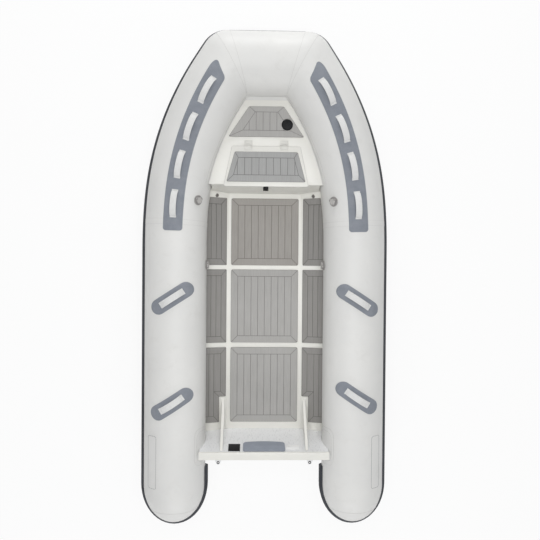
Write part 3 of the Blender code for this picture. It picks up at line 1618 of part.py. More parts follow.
def build_boat():
    remove_old_objects()
    materials = build_materials()
    build_tubes(materials)
    build_valves(materials)
    build_strakes(materials)
    build_long_patches(materials)
    build_short_patches(materials)
    build_long_straps(materials)
    build_short_straps(materials)
    build_hull(materials)
    build_floor_frame(materials)
    build_deck(materials)
    build_transom(materials)
    build_drain_plug(materials)
    build_knees(materials)
    build_motor_pad(materials)
    build_centre_pads(materials)
    build_side_pads(materials)
    build_locker(materials)
    build_lid(materials)
    build_top_pads(materials)
    build_hinges(materials)
    build_latch(materials)
    build_deck_port(materials)


build_boat()
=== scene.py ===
import bmesh
import bpy
import math
from mathutils import Matrix, Vector


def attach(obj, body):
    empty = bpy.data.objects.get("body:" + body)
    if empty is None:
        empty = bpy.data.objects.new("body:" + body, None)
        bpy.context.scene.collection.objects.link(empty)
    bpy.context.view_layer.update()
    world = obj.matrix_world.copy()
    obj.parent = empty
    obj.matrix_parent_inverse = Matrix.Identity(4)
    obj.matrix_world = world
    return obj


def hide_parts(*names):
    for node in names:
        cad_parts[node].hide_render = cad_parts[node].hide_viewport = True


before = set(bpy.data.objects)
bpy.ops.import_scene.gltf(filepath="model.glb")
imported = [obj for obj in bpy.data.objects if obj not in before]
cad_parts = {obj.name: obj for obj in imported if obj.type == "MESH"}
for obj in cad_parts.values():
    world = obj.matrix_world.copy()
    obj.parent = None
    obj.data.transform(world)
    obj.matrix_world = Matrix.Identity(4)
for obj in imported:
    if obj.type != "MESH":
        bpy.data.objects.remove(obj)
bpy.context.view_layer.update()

# Sizes of the boat, in metres
HALF_LENGTH = 1.70
HALF_BEAM = 0.85
TUBE_R = 0.2125
TUBE_INSET = 0.2278
TUBE_X = HALF_BEAM - TUBE_INSET
TUBE_Z = 0.28
TIP_Y = -1.6847
CONE_LENGTH = 0.27
CONE_Y = TIP_Y + CONE_LENGTH
CURVE_Y = 0.20
CURVE_RUN = HALF_LENGTH - CURVE_Y
SHOULDER = 0.495
SIDE_POWER = 2.5
SHEER_Y = 0.30
SHEER_POWER = 1.8
BOW_RISE = 0.115
SEAM_Y = 0.395
CORNER_R = 0.18
PIVOT_IN = 0.012
GAP = 0.0003
BOW_DROP = math.radians(6.0)
STRAKE_NOSE = 0.040
BOW_Y = HALF_LENGTH - TUBE_INSET * math.cos(BOW_DROP) - STRAKE_NOSE / 2 * math.sin(BOW_DROP)
DECK_Z = 0.130
FOLD_X = 0.259
TOE_Y = -1.0815
LEAN = math.radians(15.0)
RAKE = math.tan(LEAN)
TRANSOM_NORMAL = Vector((0, math.cos(LEAN), math.sin(LEAN)))
TRANSOM_DEPTH = 0.04245
LOCKER_AFT, LOCKER_FRONT, LOCKER_TOP = 0.658, 1.2326, 0.382
FOREDECK_Z, LID_Z = 0.3823, 0.3866
PORT_PLACE = (0.142, 1.067)

# Directions and sides
CROWN = math.pi / 2
FULL_TURN = 2 * math.pi
MIRROR = Matrix.Scale(-1, 4, (1, 0, 0))
SIDES = (("port", -1), ("starboard", 1))


def spread(low, high, count):
    """Evenly spaced values from low to high, both ends included."""
    return [low + (high - low) * k / count for k in range(count + 1)]


# The tubes' run
class Station:
    """One section of a tube: centre, outward direction in plan, half width and half height."""

    def __init__(self, centre, outward, half_width, half_height):
        self.centre = Vector(centre)
        self.outward = Vector((outward[0], outward[1], 0.0)).normalized()
        self.half_width = half_width
        self.half_height = half_height

    def point(self, angle, lift=0.0):
        """A point on the skin: angle 0 is outboard and a quarter turn is the crown."""
        wide = (self.half_width + lift) * math.cos(angle)
        high = (self.half_height + lift) * math.sin(angle)
        return self.centre + self.outward * wide + Vector((0.0, 0.0, high))

    def mirrored(self):
        x, y, z = self.centre
        out = (-self.outward.x, self.outward.y)
        return Station((-x, y, z), out, self.half_width, self.half_height)


def axis_height(y):
    run = max(0.0, y - SHEER_Y) / (BOW_Y - SHEER_Y)
    return TUBE_Z + BOW_RISE * run ** SHEER_POWER


def side_station(y):
    share = max(0.0, y - CURVE_Y) / CURVE_RUN
    slope = SHOULDER * SIDE_POWER / CURVE_RUN * share ** (SIDE_POWER - 1)
    outward = Vector((1.0, slope, 0.0)).normalized()
    centre = Vector((HALF_BEAM - SHOULDER * share ** SIDE_POWER, y, 0.0)) - outward * TUBE_INSET
    centre.z = axis_height(centre.y)
    return Station(centre, outward, TUBE_R, TUBE_R)


def cone_station(angle):
    """A section of the stern cone, from its root at 0 to its tip at a quarter turn."""
    half = TUBE_R * math.cos(angle)
    return Station((TUBE_X, CONE_Y - CONE_LENGTH * math.sin(angle), TUBE_Z), (1, 0), half, half)


def solve(function, low, high):
    """Halves the range until the rising function's zero is found."""
    for _ in range(50):
        middle = (low + high) / 2
        if function(middle) < 0:
            low = middle
        else:
            high = middle
    return (low + high) / 2


def pivot_ahead(y):
    station = side_station(y)
    inner = TUBE_R + PIVOT_IN
    return station.centre.y - station.outward.y * inner - (BOW_Y - TUBE_R - PIVOT_IN)


CORNER_Y = solve(pivot_ahead, CURVE_Y, HALF_LENGTH)


def corner_stations(steps):
    """The tube's sections swing round the inner corner of the bow."""
    start = side_station(CORNER_Y)
    pivot = start.centre - start.outward * (TUBE_R + PIVOT_IN)
    depth = 2 * TUBE_R + PIVOT_IN
    first = math.atan2(start.outward.y, start.outward.x)
    half = (math.pi / 2 - first) / 2
    arc_centre = (depth - CORNER_R) / math.cos(half)
    arc_half = math.atan2(CORNER_R * math.sin(half), arc_centre + CORNER_R * math.cos(half))
    stations = []
    for k in range(steps + 1):
        off = half * (2 * k / steps - 1)
        if abs(off) < arc_half:
            root = CORNER_R ** 2 - (arc_centre * math.sin(off)) ** 2
            reach = arc_centre * math.cos(off) + math.sqrt(root)
        else:
            reach = depth / math.cos(half - abs(off))
        turn = first + half + off
        outward = Vector((math.cos(turn), math.sin(turn), 0.0))
        wide = (reach - PIVOT_IN) / 2
        centre = pivot + outward * (PIVOT_IN + wide)
        centre.z = axis_height(centre.y)
        stations.append(Station(centre, outward, wide, TUBE_R))
    return stations


CORNER = corner_stations(24)
RING_STEP = 0.035


def bow_station(x):
    last = CORNER[-1]
    return Station((x, last.centre.y, last.centre.z), (0.0, 1.0), last.half_width, TUBE_R)


def run_of_tube(start_y):
    """Starboard sections from start_y to the middle of the bow."""
    count = max(2, round((CORNER_Y - start_y) / RING_STEP))
    stations = [side_station(y) for y in spread(start_y, CORNER_Y, count)[:-1]]
    edge = CORNER[-1].centre.x
    return stations + CORNER + [bow_station(edge * share) for share in (0.66, 0.33, 0.0)]


def whole_bow(starboard):
    """The starboard sections and their mirrored twins, as one run round the bow."""
    return starboard + [station.mirrored() for station in reversed(starboard[:-1])]


RUN = [side_station(y) for y in spread(CONE_Y, CURVE_Y, 16)[:-1]] + run_of_tube(CURVE_Y)
LENGTHS = [0.0]
for here, ahead in zip(RUN, RUN[1:]):
    LENGTHS.append(LENGTHS[-1] + (ahead.point(CROWN) - here.point(CROWN)).length)


def station_at(distance):
    """The section at a distance along the crown, measured from the stern cone."""
    last = len(RUN) - 2
    k = next((k for k in range(last) if distance <= LENGTHS[k + 1]), last)
    share = (distance - LENGTHS[k]) / (LENGTHS[k + 1] - LENGTHS[k])
    here, ahead = RUN[k], RUN[k + 1]
    half_width = here.half_width + (ahead.half_width - here.half_width) * share
    return Station(here.centre.lerp(ahead.centre, share),
                   here.outward.lerp(ahead.outward, share), half_width, TUBE_R)


def distance_at(y):
    return solve(lambda distance: station_at(distance).centre.y - y, 0.0, LENGTHS[-4])


def skin_at(y, angle, lift=0.0):
    """The starboard skin's point at this angle whose own y is the one asked for."""
    centre_y = solve(lambda s: side_station(s).point(angle, lift).y - y, -HALF_LENGTH, CORNER_Y)
    return side_station(centre_y).point(angle, lift)


# Bench tools
def take(*pieces):
    """Puts these pieces in hand and no others, the first one active."""
    if bpy.context.object is not None and bpy.context.object.mode != "OBJECT":
        bpy.ops.object.mode_set(mode="OBJECT")
    bpy.ops.object.select_all(action="DESELECT")
    for piece in pieces:
        piece.select_set(True)
    if pieces:
        bpy.context.view_layer.objects.active = pieces[0]


def named(name):
    """Names the primitive that was just added."""
    piece = bpy.context.object
    piece.name = piece.data.name = name
    return piece


def open_piece(piece, kind="VERT"):
    """Opens a piece in edit mode with all of it selected."""
    take(piece)
    bpy.ops.object.mode_set(mode="EDIT")
    bpy.ops.mesh.select_mode(type=kind)
    bpy.ops.mesh.select_all(action="SELECT")
    return piece


def close_piece(piece):
    """Back to object mode with doubles merged and normals outward."""
    bpy.ops.mesh.select_all(action="SELECT")
    bpy.ops.mesh.remove_doubles(threshold=0.00001)
    bpy.ops.mesh.normals_make_consistent(inside=False)
    bpy.ops.object.mode_set(mode="OBJECT")
    return piece


def seal(piece):
    """Merges the seam of a wrapped sheet and caps its open ends."""
    open_piece(piece)
    bpy.ops.mesh.remove_doubles(threshold=0.00002)
    bpy.ops.mesh.select_all(action="DESELECT")
    bpy.ops.mesh.select_non_manifold(extend=False, use_wire=False, use_multi_face=False,
                                     use_non_contiguous=False, use_verts=False)
    bpy.ops.mesh.fill_holes(sides=0)
    return close_piece(piece)


def push_out(step):
    bpy.ops.mesh.extrude_region_move(TRANSFORM_OT_translate={"value": step})


def add_modifier(piece, kind, **values):
    """Adds a modifier, applies it and leaves the piece as a plain mesh."""
    take(piece)
    modifier = piece.modifiers.new(kind.title(), kind)
    for key, value in values.items():
        setattr(modifier, key, value)
    bpy.ops.object.modifier_apply(modifier=modifier.name)


def round_edges(piece, width, segments=2, degrees=35.0):
    add_modifier(
        piece, "BEVEL", width=width, segments=segments, limit_method="ANGLE",
        angle_limit=math.radians(degrees), harden_normals=False, use_clamp_overlap=True,
    )


def thicken(piece, thickness):
    add_modifier(piece, "SOLIDIFY", thickness=thickness, offset=1.0)


def trim(piece, cutter, operation="INTERSECT"):
    add_modifier(piece, "BOOLEAN", operation=operation, solver="EXACT", object=cutter)
    bpy.data.objects.remove(cutter, do_unlink=True)


def face_up(piece):
    """Turns a thin sheet's faces so that most of them look up."""
    if sum(face.normal.z for face in piece.data.polygons) < 0:
        piece.data.flip_normals()


def even_out(piece):
    """Makes a thin sheet's normals agree and look up."""
    open_piece(piece)
    bpy.ops.mesh.normals_make_consistent(inside=False)
    bpy.ops.object.mode_set(mode="OBJECT")
    face_up(piece)


def settle(piece, matrix):
    """Moves the mesh to its place and leaves its object at the origin."""
    piece.data.transform(matrix)
    if matrix.determinant() < 0:
        piece.data.flip_normals()
    piece.data.update()


def fit_out(piece, body, paint, nodes=(), degrees=35.0, slot=""):
    """Finish, body and the CAD nodes that the piece stands for; the slot argument is not used."""
    take(piece)
    bpy.ops.object.shade_smooth_by_angle(angle=math.radians(degrees))
    piece.data.materials.clear()
    piece.data.materials.append(PAINT[paint])
    slot = slot or paint
    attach(piece, body)
    if nodes:
        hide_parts(*nodes)
    return piece


def copy_piece(piece, name, matrix):
    """The same shape again with a mesh of its own, moved, turned or mirrored."""
    take()
    twin = piece.copy()
    twin.data = piece.data.copy()
    twin.name = twin.data.name = name
    bpy.context.scene.collection.objects.link(twin)
    settle(twin, matrix)
    return twin


def fit_pair(piece, paint, node, degrees):
    """Fits out a starboard piece and its mirrored port twin."""
    port = copy_piece(piece, piece.name.replace("starboard", "port"), MIRROR)
    fit_out(piece, "boat", paint, ["starboard_" + node], degrees)
    fit_out(port, "boat", paint, ["port_" + node], degrees)


def join_pieces(pieces, name):
    take(*pieces)
    bpy.ops.object.join()
    pieces[0].name = pieces[0].data.name = name
    return pieces[0]


def lay_sheet(name, columns, rows, place, wide=1.0, long=1.0):
    """A grid whose points are laid one by one; its UV map counts metres across and along."""
    take()
    bpy.ops.mesh.primitive_grid_add(x_subdivisions=columns, y_subdivisions=rows, size=1.0)
    piece = named(name)
    for point in piece.data.vertices:
        i = round((point.co.x + 0.5) * columns)
        j = round((point.co.y + 0.5) * rows)
        point.co = place(i, j)
    for loop in piece.data.uv_layers.active.data:
        loop.uv = (loop.uv[0] * wide, loop.uv[1] * long)
    return piece


def turned(name, profile, sides, origin=(0, 0, 0), axis=(0, 0, 1)):
    """A turned piece: a disc pushed out ring by ring, closed at both ends."""
    take()
    radius, height = profile[0]
    bpy.ops.mesh.primitive_circle_add(
        vertices=sides, radius=radius, fill_type="NGON", location=(0, 0, height)
    )
    bpy.ops.object.transform_apply(location=True, rotation=False, scale=False)
    piece = open_piece(named(name), "FACE")
    for next_radius, next_height in profile[1:]:
        push_out((0, 0, next_height - height))
        share = next_radius / radius
        if abs(share - 1) > 1e-6:
            bpy.ops.transform.resize(value=(share, share, 1.0))
        radius, height = next_radius, next_height
    close_piece(piece)
    turn = Vector((0, 0, 1)).rotation_difference(Vector(axis)).to_matrix().to_4x4()
    settle(piece, Matrix.Translation(Vector(origin)) @ turn)
    return piece


def flat_blank(name, outline, corner=0.0, clamp=True):
    """A flat face pulled to its outline with its corners rounded, left open."""
    take()
    bpy.ops.mesh.primitive_circle_add(vertices=len(outline), radius=1.0, fill_type="NGON")
    piece = named(name)
    for point, (x, y) in zip(piece.data.vertices, outline):
        point.co = (x, y, 0.0)
    open_piece(piece)
    if corner > 0:
        bpy.ops.mesh.bevel(offset=corner, segments=6, affect="VERTICES", clamp_overlap=clamp)
    return piece


def raised_plate(name, outline, corner, low, high):
    """A flat blank pushed out to a plate between two heights."""
    piece = flat_blank(name, outline, corner)
    bpy.ops.mesh.select_all(action="SELECT")
    bpy.ops.transform.translate(value=(0, 0, low))
    push_out((0, 0, high - low))
    return close_piece(piece)


def mark_groove(piece, depth):
    """Marks how far each point lies in a groove, for the finish to darken."""
    layer = piece.data.attributes.new("groove", "FLOAT", "POINT")
    for item, point in zip(layer.data, piece.data.vertices):
        item.value = depth(point.co)


def cad_copy(node, name):
    """A merged copy of a CAD node, ready for rounded edges."""
    piece = bpy.data.objects.new(name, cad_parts[node].data.copy())
    piece.data.name = name
    bpy.context.scene.collection.objects.link(piece)
    take(piece)
    piece.data.materials.clear()
    if piece.data.has_custom_normals:
        bpy.ops.mesh.customdata_custom_splitnormals_clear()
    open_piece(piece)
    bpy.ops.mesh.remove_doubles(threshold=0.00002)
    bpy.ops.mesh.dissolve_limited(angle_limit=math.radians(0.5))
    bpy.ops.object.mode_set(mode="OBJECT")
    return piece


def rounded_copy(node, name, body, paint, width, segments=2, degrees=30.0, extras=(), slot=""):
    """The CAD solid in clean faces, its edges rounded as paint and moulding leave them."""
    piece = cad_copy(node, name)
    round_edges(piece, width, segments, degrees)
    if extras:
        piece = join_pieces([piece, *extras], name)
    return fit_out(piece, body, paint, [node], 30, slot)


# Finishes
def feed(tree, socket, value):
    """Links a socket to another one, or sets its plain value."""
    if isinstance(value, bpy.types.NodeSocket):
        tree.links.new(value, socket)
    elif isinstance(value, tuple) and socket.type == "RGBA":
        socket.default_value = (*value[:3], 1.0)
    else:
        socket.default_value = value


def add_node(tree, kind, inputs, **settings):
    node = tree.nodes.new("ShaderNode" + kind)
    for key, value in settings.items():
        setattr(node, key, value)
    for key, value in inputs.items():
        feed(tree, node.inputs[key], value)
    return node


class Finish:
    """A material put together node by node."""

    def __init__(self, name, colour, roughness, specular=0.5):
        self.material = bpy.data.materials.new(name)
        self.material.use_nodes = True
        self.tree = self.material.node_tree
        self.shader = self.tree.nodes["Principled BSDF"]
        self.link("Base Color", colour)
        self.link("Roughness", roughness)
        self.link("Metallic", 0.0)
        self.link("Specular IOR Level", specular)

    def link(self, socket, value):
        feed(self.tree, self.shader.inputs[socket], value)

    def node(self, kind, inputs, **settings):
        return add_node(self.tree, kind, inputs, **settings)

    def place(self, source="Object", scale=(1, 1, 1), turn=(0, 0, 0)):
        coordinates = self.node("TexCoord", {})
        mapping = self.node("Mapping", {"Vector": coordinates.outputs[source]})
        mapping.inputs["Scale"].default_value = scale
        mapping.inputs["Rotation"].default_value = turn
        return mapping.outputs["Vector"]

    def noise(self, vector, scale, detail=3.0, roughness=0.55, distortion=0.0):
        inputs = {"Vector": vector, "Scale": scale, "Detail": detail, "Roughness": roughness,
                  "Distortion": distortion}
        return self.node("TexNoise", inputs).outputs["Fac"]

    def wave(self, vector, scale, distortion, direction):
        inputs = {"Vector": vector, "Scale": scale, "Distortion": distortion}
        return self.node("TexWave", inputs, bands_direction=direction).outputs["Fac"]

    def cells(self, vector, scale):
        return self.node("TexVoronoi", {"Vector": vector, "Scale": scale}).outputs["Distance"]

    def groove(self):
        return self.node("Attribute", {}, attribute_name="groove").outputs["Fac"]

    def sum(self, operation, first, second):
        return self.node("Math", {0: first, 1: second}, operation=operation).outputs["Value"]

    def between(self, value, low, high, to_low=0.0, to_high=1.0):
        inputs = {"Value": value, "From Min": low, "From Max": high, "To Min": to_low,
                  "To Max": to_high}
        return self.node("MapRange", inputs).outputs["Result"]

    def mix(self, share, first, second):
        inputs = {0: share, 6: first, 7: second}
        return self.node("Mix", inputs, data_type="RGBA", blend_type="MIX").outputs[2]

    def tinge(self, value, low, high, first, second, most=1.0):
        """Goes from the first colour to the second as the value goes from low to high."""
        return self.mix(self.between(value, low, high, 0.0, most), first, second)

    def bump(self, height, strength, distance, normal=None):
        inputs = {"Height": height, "Strength": strength, "Distance": distance}
        if normal is not None:
            inputs["Normal"] = normal
        return self.node("Bump", inputs).outputs["Normal"]

    def coat(self, colour, normal, roughness=None):
        self.link("Base Color", colour)
        self.link("Normal", normal)
        if roughness is not None:
            self.link("Roughness", roughness)
        return self.material


def tube_fabric_finish():
    """Light grey coated boat fabric: a fine weave under a satin coat, soft smudges."""
    finish = Finish("tube_fabric", (0.70, 0.70, 0.69), 0.46, 0.45)
    place = finish.place()
    broad = finish.noise(place, 2.6, 4.0, 0.6)
    smudge = finish.noise(place, 11.0, 5.0, 0.65, 0.4)
    colour = finish.tinge(broad, 0.3, 0.7, (0.695, 0.692, 0.678), (0.738, 0.733, 0.714))
    colour = finish.tinge(smudge, 0.55, 0.8, colour, (0.62, 0.61, 0.585), 0.35)
    sag = finish.bump(finish.noise(place, 7.0, 2.0, 0.5), 0.10, 0.012)
    weave = finish.bump(finish.noise(place, 620.0, 2.0, 0.5), 0.18, 0.0006, sag)
    return finish.coat(colour, weave, finish.between(smudge, 0.3, 0.75, 0.40, 0.56))


def strake_finish():
    """Dark grey moulded rubber with a pebbled grain and dust."""
    finish = Finish("strake_rubber", (0.048, 0.052, 0.060), 0.66, 0.25)
    place = finish.place()
    dust = finish.noise(place, 14.0, 4.0, 0.6)
    colour = finish.tinge(dust, 0.35, 0.75, (0.036, 0.039, 0.046), (0.070, 0.075, 0.085))
    grain = finish.bump(finish.cells(place, 420.0), 0.35, 0.0008)
    return finish.coat(colour, grain, finish.between(dust, 0.3, 0.8, 0.52, 0.72))


def patch_finish():
    """Blue grey reinforcing fabric with a pebbled, non-slip face."""
    finish = Finish("patch_fabric", (0.25, 0.27, 0.305), 0.68, 0.3)
    place = finish.place()
    tone = finish.noise(place, 16.0, 4.0, 0.6)
    pebble = finish.cells(place, 300.0)
    colour = finish.tinge(tone, 0.3, 0.7, (0.232, 0.250, 0.284), (0.280, 0.298, 0.332))
    colour = finish.tinge(pebble, 0.2, 0.8, colour, (0.165, 0.180, 0.21), 0.35)
    return finish.coat(colour, finish.bump(pebble, 0.45, 0.0012))


def webbing_finish():
    """White polyester webbing: herringbone ribs along the strap and frayed fibre tone."""
    finish = Finish("strap_webbing", (0.80, 0.80, 0.79), 0.78, 0.3)
    ribs = finish.wave(finish.place("UV"), 130.0, 0.0, "X")
    picks = finish.wave(finish.place("UV", turn=(0, 0, 0.6)), 95.0, 0.6, "Y")
    ribs, picks = finish.sum("MULTIPLY", ribs, 0.6), finish.sum("MULTIPLY", picks, 0.4)
    weave = finish.sum("ADD", ribs, picks)
    tone = finish.noise(finish.place(), 40.0, 3.0)
    colour = finish.mix(weave, (0.66, 0.66, 0.655), (0.83, 0.83, 0.82))
    colour = finish.tinge(tone, 0.5, 0.85, colour, (0.62, 0.61, 0.59), 0.5)
    return finish.coat(colour, finish.bump(weave, 0.6, 0.0012))


def foam_finish(name, shade, warm):
    """Grey foam decking: brushed along its planks, dark in the cut grooves. Shade and warm scale
    its tone; the darker copies are painted shade.
    """
    def tint(red, green, blue):
        return (red * shade * warm, green * shade, blue * shade / warm)

    finish = Finish(name, tint(0.36, 0.34, 0.315), 0.88, 0.2)
    place = finish.place()
    brushed = finish.noise(finish.place("Object", (260, 9, 60)), 1.0, 3.0, 0.6)
    tone = finish.noise(place, 5.0, 4.0, 0.6)
    dark, light = tint(0.330, 0.320, 0.305), tint(0.385, 0.373, 0.358)
    colour = finish.tinge(brushed, 0.3, 0.7, dark, light)
    colour = finish.tinge(tone, 0.45, 0.8, colour, tint(0.40, 0.39, 0.375), 0.4)
    colour = finish.mix(finish.groove(), colour, tint(0.17, 0.163, 0.155))
    crumb = finish.noise(place, 520.0, 2.0, 0.5)
    return finish.coat(colour, finish.bump(crumb, 0.4, 0.0006, finish.bump(brushed, 0.25, 0.0008)))


def powder_coat(name, plain, tones, rough, cloud, brush, wear):
    """Powder coat on aluminium: fine orange peel, faint scuffs."""
    fresh, settled, worn = tones
    low, high, most = wear
    finish = Finish(name, plain, rough)
    place = finish.place()
    tone = finish.noise(place, cloud, 4.0, 0.6)
    scuff = finish.noise(finish.place("Object", brush), 1.0, 4.0, 0.7)
    colour = finish.tinge(tone, 0.35, 0.75, fresh, settled)
    colour = finish.tinge(scuff, low, high, colour, worn, most)
    peel = finish.bump(finish.noise(place, 230.0, 2.0, 0.5), 0.12, 0.0008)
    roughness = finish.between(scuff, 0.4, 0.8, rough - 0.06, rough + 0.16)
    return finish.coat(colour, peel, roughness)


def hull_finish(name, shade=1.0):
    """The hull's cream paint; a shade above one gives a brighter copy, which is painted light."""
    fresh = tuple(value * shade for value in (0.795, 0.785, 0.735))
    settled = tuple(value * shade for value in (0.76, 0.75, 0.71))
    tones = (fresh, settled, (0.66, 0.64, 0.59))
    return powder_coat(name, fresh, tones, 0.34, 6.0, (30, 140, 30), (0.62, 0.85, 0.4))


def transom_finish():
    """The hull's cream paint shown cool white on the transom: painted light with a bluish painted
    reflection.
    """
    tones = ((0.835, 0.84, 0.845), (0.80, 0.805, 0.81), (0.66, 0.67, 0.67))
    return powder_coat("transom_paint", (0.76, 0.765, 0.765), tones, 0.32, 7.0, (140, 30, 30),
                       (0.64, 0.88, 0.22))


def moulded_finish(name, dark, light, rough, gloss=0.35):
    """Moulded plastic with a fine spark grain, worn tone and painted shade in its recesses."""
    finish = Finish(name, light, rough, gloss)
    place = finish.place()
    tone = finish.noise(place, 24.0, 4.0, 0.6)
    # The darker colour that the groove attribute mixes in is painted shade.
    painted_shade = tuple(value * 0.42 for value in dark)
    colour = finish.mix(finish.groove(), finish.tinge(tone, 0.3, 0.75, dark, light), painted_shade)
    spark = finish.bump(finish.cells(place, 380.0), 0.22, 0.0005)
    return finish.coat(colour, spark, finish.between(tone, 0.3, 0.8, rough - 0.06, rough + 0.10))


def line_finish(name, dark, light):
    """Glue lines and printed borders on the fabric."""
    finish = Finish(name, light, 0.55, 0.3)
    place = finish.place()
    colour = finish.mix(finish.noise(place, 60.0, 3.0, 0.6), dark, light)
    return finish.coat(colour, finish.bump(finish.noise(place, 500.0, 2.0), 0.3, 0.0004))


LINE_TONES = {
    "glue_line": ((0.50, 0.495, 0.48), (0.61, 0.605, 0.59)),
    "soft_line": ((0.57, 0.565, 0.55), (0.66, 0.655, 0.64)),
    "border_line": ((0.20, 0.20, 0.21), (0.27, 0.27, 0.28)),
}
MOULDED_TONES = {
    "valve_plastic": ((0.43, 0.415, 0.40), (0.53, 0.515, 0.50), 0.50),
    "hinge_plastic": ((0.66, 0.65, 0.61), (0.74, 0.73, 0.69), 0.38),
    "black_plastic": ((0.010, 0.010, 0.011), (0.020, 0.020, 0.022), 0.50, 0.18),
    "eye_plastic": ((0.13, 0.12, 0.11), (0.20, 0.19, 0.18), 0.5),
    "pale_plate": ((0.84, 0.84, 0.83), (0.90, 0.90, 0.89), 0.30),
    "motor_pad_plastic": ((0.26, 0.285, 0.335), (0.31, 0.335, 0.39), 0.5),
}
PAINT = {
    "tube_fabric": tube_fabric_finish(),
    "strake_rubber": strake_finish(),
    "patch_fabric": patch_finish(),
    "strap_webbing": webbing_finish(),
    # One deck foam in four copies: the fore, side and lid copies are the same foam made darker, and
    # the lid's also cooler, as painted shade.
    "deck_foam": foam_finish("deck_foam", 1.20, 0.99),
    "fore_foam_painted_shade": foam_finish("fore_deck_foam", 1.04, 1.02),
    "side_foam": foam_finish("side_deck_foam", 0.83, 1.0),
    "lid_foam_painted_shade": foam_finish("lid_deck_foam", 1.08, 0.97),
    "hull_paint": hull_finish("hull_paint"),
    # The deck is the hull's cream paint made brighter: painted light on the strips between the
    # pads.
    "deck_paint": hull_finish("deck_paint", 1.09),
    # The transom's cool white copy of the cream paint stands for light and a bluish reflection on
    # its face: painted light.
    "transom_paint": transom_finish(),
}
PAINT.update((name, line_finish(name, *tones)) for name, tones in LINE_TONES.items())
PAINT.update((name, moulded_finish(name, *tones)) for name, tones in MOULDED_TONES.items())


# Inflated tubes
ROUND = 72
CONE_RINGS = 18


def tube_skin(name, stations, long):
    """A closed skin through the stations; its UV map is long metres from end to end."""
    def place(i, j):
        return stations[j].point(FULL_TURN * (i % ROUND) / ROUND)

    return seal(lay_sheet(name, ROUND, len(stations) - 1, place, FULL_TURN * TUBE_R, long))


def make_tubes():
    stations = [cone_station(CROWN * k / CONE_RINGS) for k in range(CONE_RINGS, 0, -1)]
    rings = spread(CONE_Y, CURVE_Y, 12) + spread(CURVE_Y, SEAM_Y - GAP / 2, 5)[1:]
    stations += [side_station(y) for y in rings]
    tube = tube_skin("starboard_aft_tube_skin", stations, SEAM_Y - TIP_Y)
    fit_pair(tube, "tube_fabric", "aft_tube", 50)
    bow = tube_skin("bow_tube_skin", whole_bow(run_of_tube(SEAM_Y + GAP / 2)), 3.4)
    fit_out(bow, "boat", "tube_fabric", ["bow_tube"], 50)


make_tubes()


# Rubbing strakes
STRAKE_START = 0.1177
UPPER_PROFILE = [
    (-0.0030, 0.0375), (0.0012, 0.0372), (0.0048, 0.0340), (0.0078, 0.0290), (0.0104, 0.0258),
    (0.0152, 0.0230), (0.0174, 0.0198), (0.0182, 0.0165), (0.0182, 0.0105), (0.0156, 0.0082),
    (0.0156, 0.0060), (0.0182, 0.0038),
]
LOWER_PROFILE = [(out, -height) for out, height in reversed(UPPER_PROFILE)]
SEAT_PROFILE = [(-0.0007, -0.0187), (0.0001, 0.0), (-0.0007, 0.0187)]
STRAKE_PROFILE = UPPER_PROFILE + LOWER_PROFILE + SEAT_PROFILE


def strake_run():
    """Places along the strake: the tube's skin, the way out in plan and the angle down."""
    def station(point, outward, angle):
        return (Vector(point), Vector((outward[0], outward[1], 0.0)).normalized(), angle)

    inner_x = TUBE_X - TUBE_R
    run = [station((inner_x, y, TUBE_Z), (-1, 0), 0.0) for y in (CONE_Y + STRAKE_START, CONE_Y)]
    angles = [math.radians(90) * k / 12 for k in range(1, 12)]
    for sign, order in ((-1, angles), (1, angles[::-1])):
        for angle in order:
            x = TUBE_X + sign * TUBE_R * math.cos(angle)
            y = CONE_Y - CONE_LENGTH * math.sin(angle)
            outward = (sign * math.cos(angle) / TUBE_R, -math.sin(angle) / CONE_LENGTH)
            run.append(station((x, y, TUBE_Z), outward, 0.0))
        if sign < 0:
            run.append(station((TUBE_X, TIP_Y, TUBE_Z), (0, -1), 0.0))
    for piece in RUN:
        share = max(0.0, piece.centre.y - CURVE_Y) / (BOW_Y - CURVE_Y)
        angle = -BOW_DROP * share
        run.append(station(piece.point(angle), piece.outward, angle))
    run[-1][0].x += GAP / 2
    return run


def make_strakes():
    run = strake_run()
    count = len(STRAKE_PROFILE)

    def place(i, j):
        point, outward, angle = run[j]
        out, height = STRAKE_PROFILE[i % count]
        away = outward * math.cos(angle) + Vector((0, 0, math.sin(angle)))
        rise = Vector((0, 0, math.cos(angle))) - outward * math.sin(angle)
        return point + away * (out + GAP) + rise * height

    strake = seal(lay_sheet("starboard_strake_profile", count, len(run) - 1, place, 0.1, 4.7))
    fit_pair(strake, "strake_rubber", "rubbing_strake", 30)


make_strakes()


# Patches on the tubes
PATCH_SLICE, LONG_SLICE = 0.02, 0.022
PATCH_T = 0.0022
LONG_PATCH_ENDS = (0.335, 1.425)
LONG_PATCH_HALF = 0.0652
SHORT_PATCH_HALF, SHORT_PATCH_REACH = 0.0515, 0.159
HANDLE_ROWS = {
    "port_fore": (-1, -0.1165), "port_aft": (-1, -0.824),
    "starboard_fore": (1, -0.1236), "starboard_aft": (1, -0.781),
}
HANDLE_TURN = math.radians(33.0)
HANDLE_ALONG = Vector((math.cos(HANDLE_TURN), -math.sin(HANDLE_TURN)))
HANDLE_ACROSS = Vector((-HANDLE_ALONG.y, HANDLE_ALONG.x))


def cut_patch(name, outline, corner, step=PATCH_SLICE):
    """A flat patch with rounded corners, sliced both ways to follow a curve."""
    piece = flat_blank(name, outline, corner, clamp=False)
    for axis, normal in enumerate(((1, 0, 0), (0, 1, 0))):
        low = min(place[axis] for place in outline)
        high = max(place[axis] for place in outline)
        for here in spread(low, high, max(1, round((high - low) / step)))[1:-1]:
            bpy.ops.mesh.select_all(action="SELECT")
            bpy.ops.mesh.bisect(plane_co=Vector(normal) * here, plane_no=normal)
    bpy.ops.object.mode_set(mode="OBJECT")
    return piece


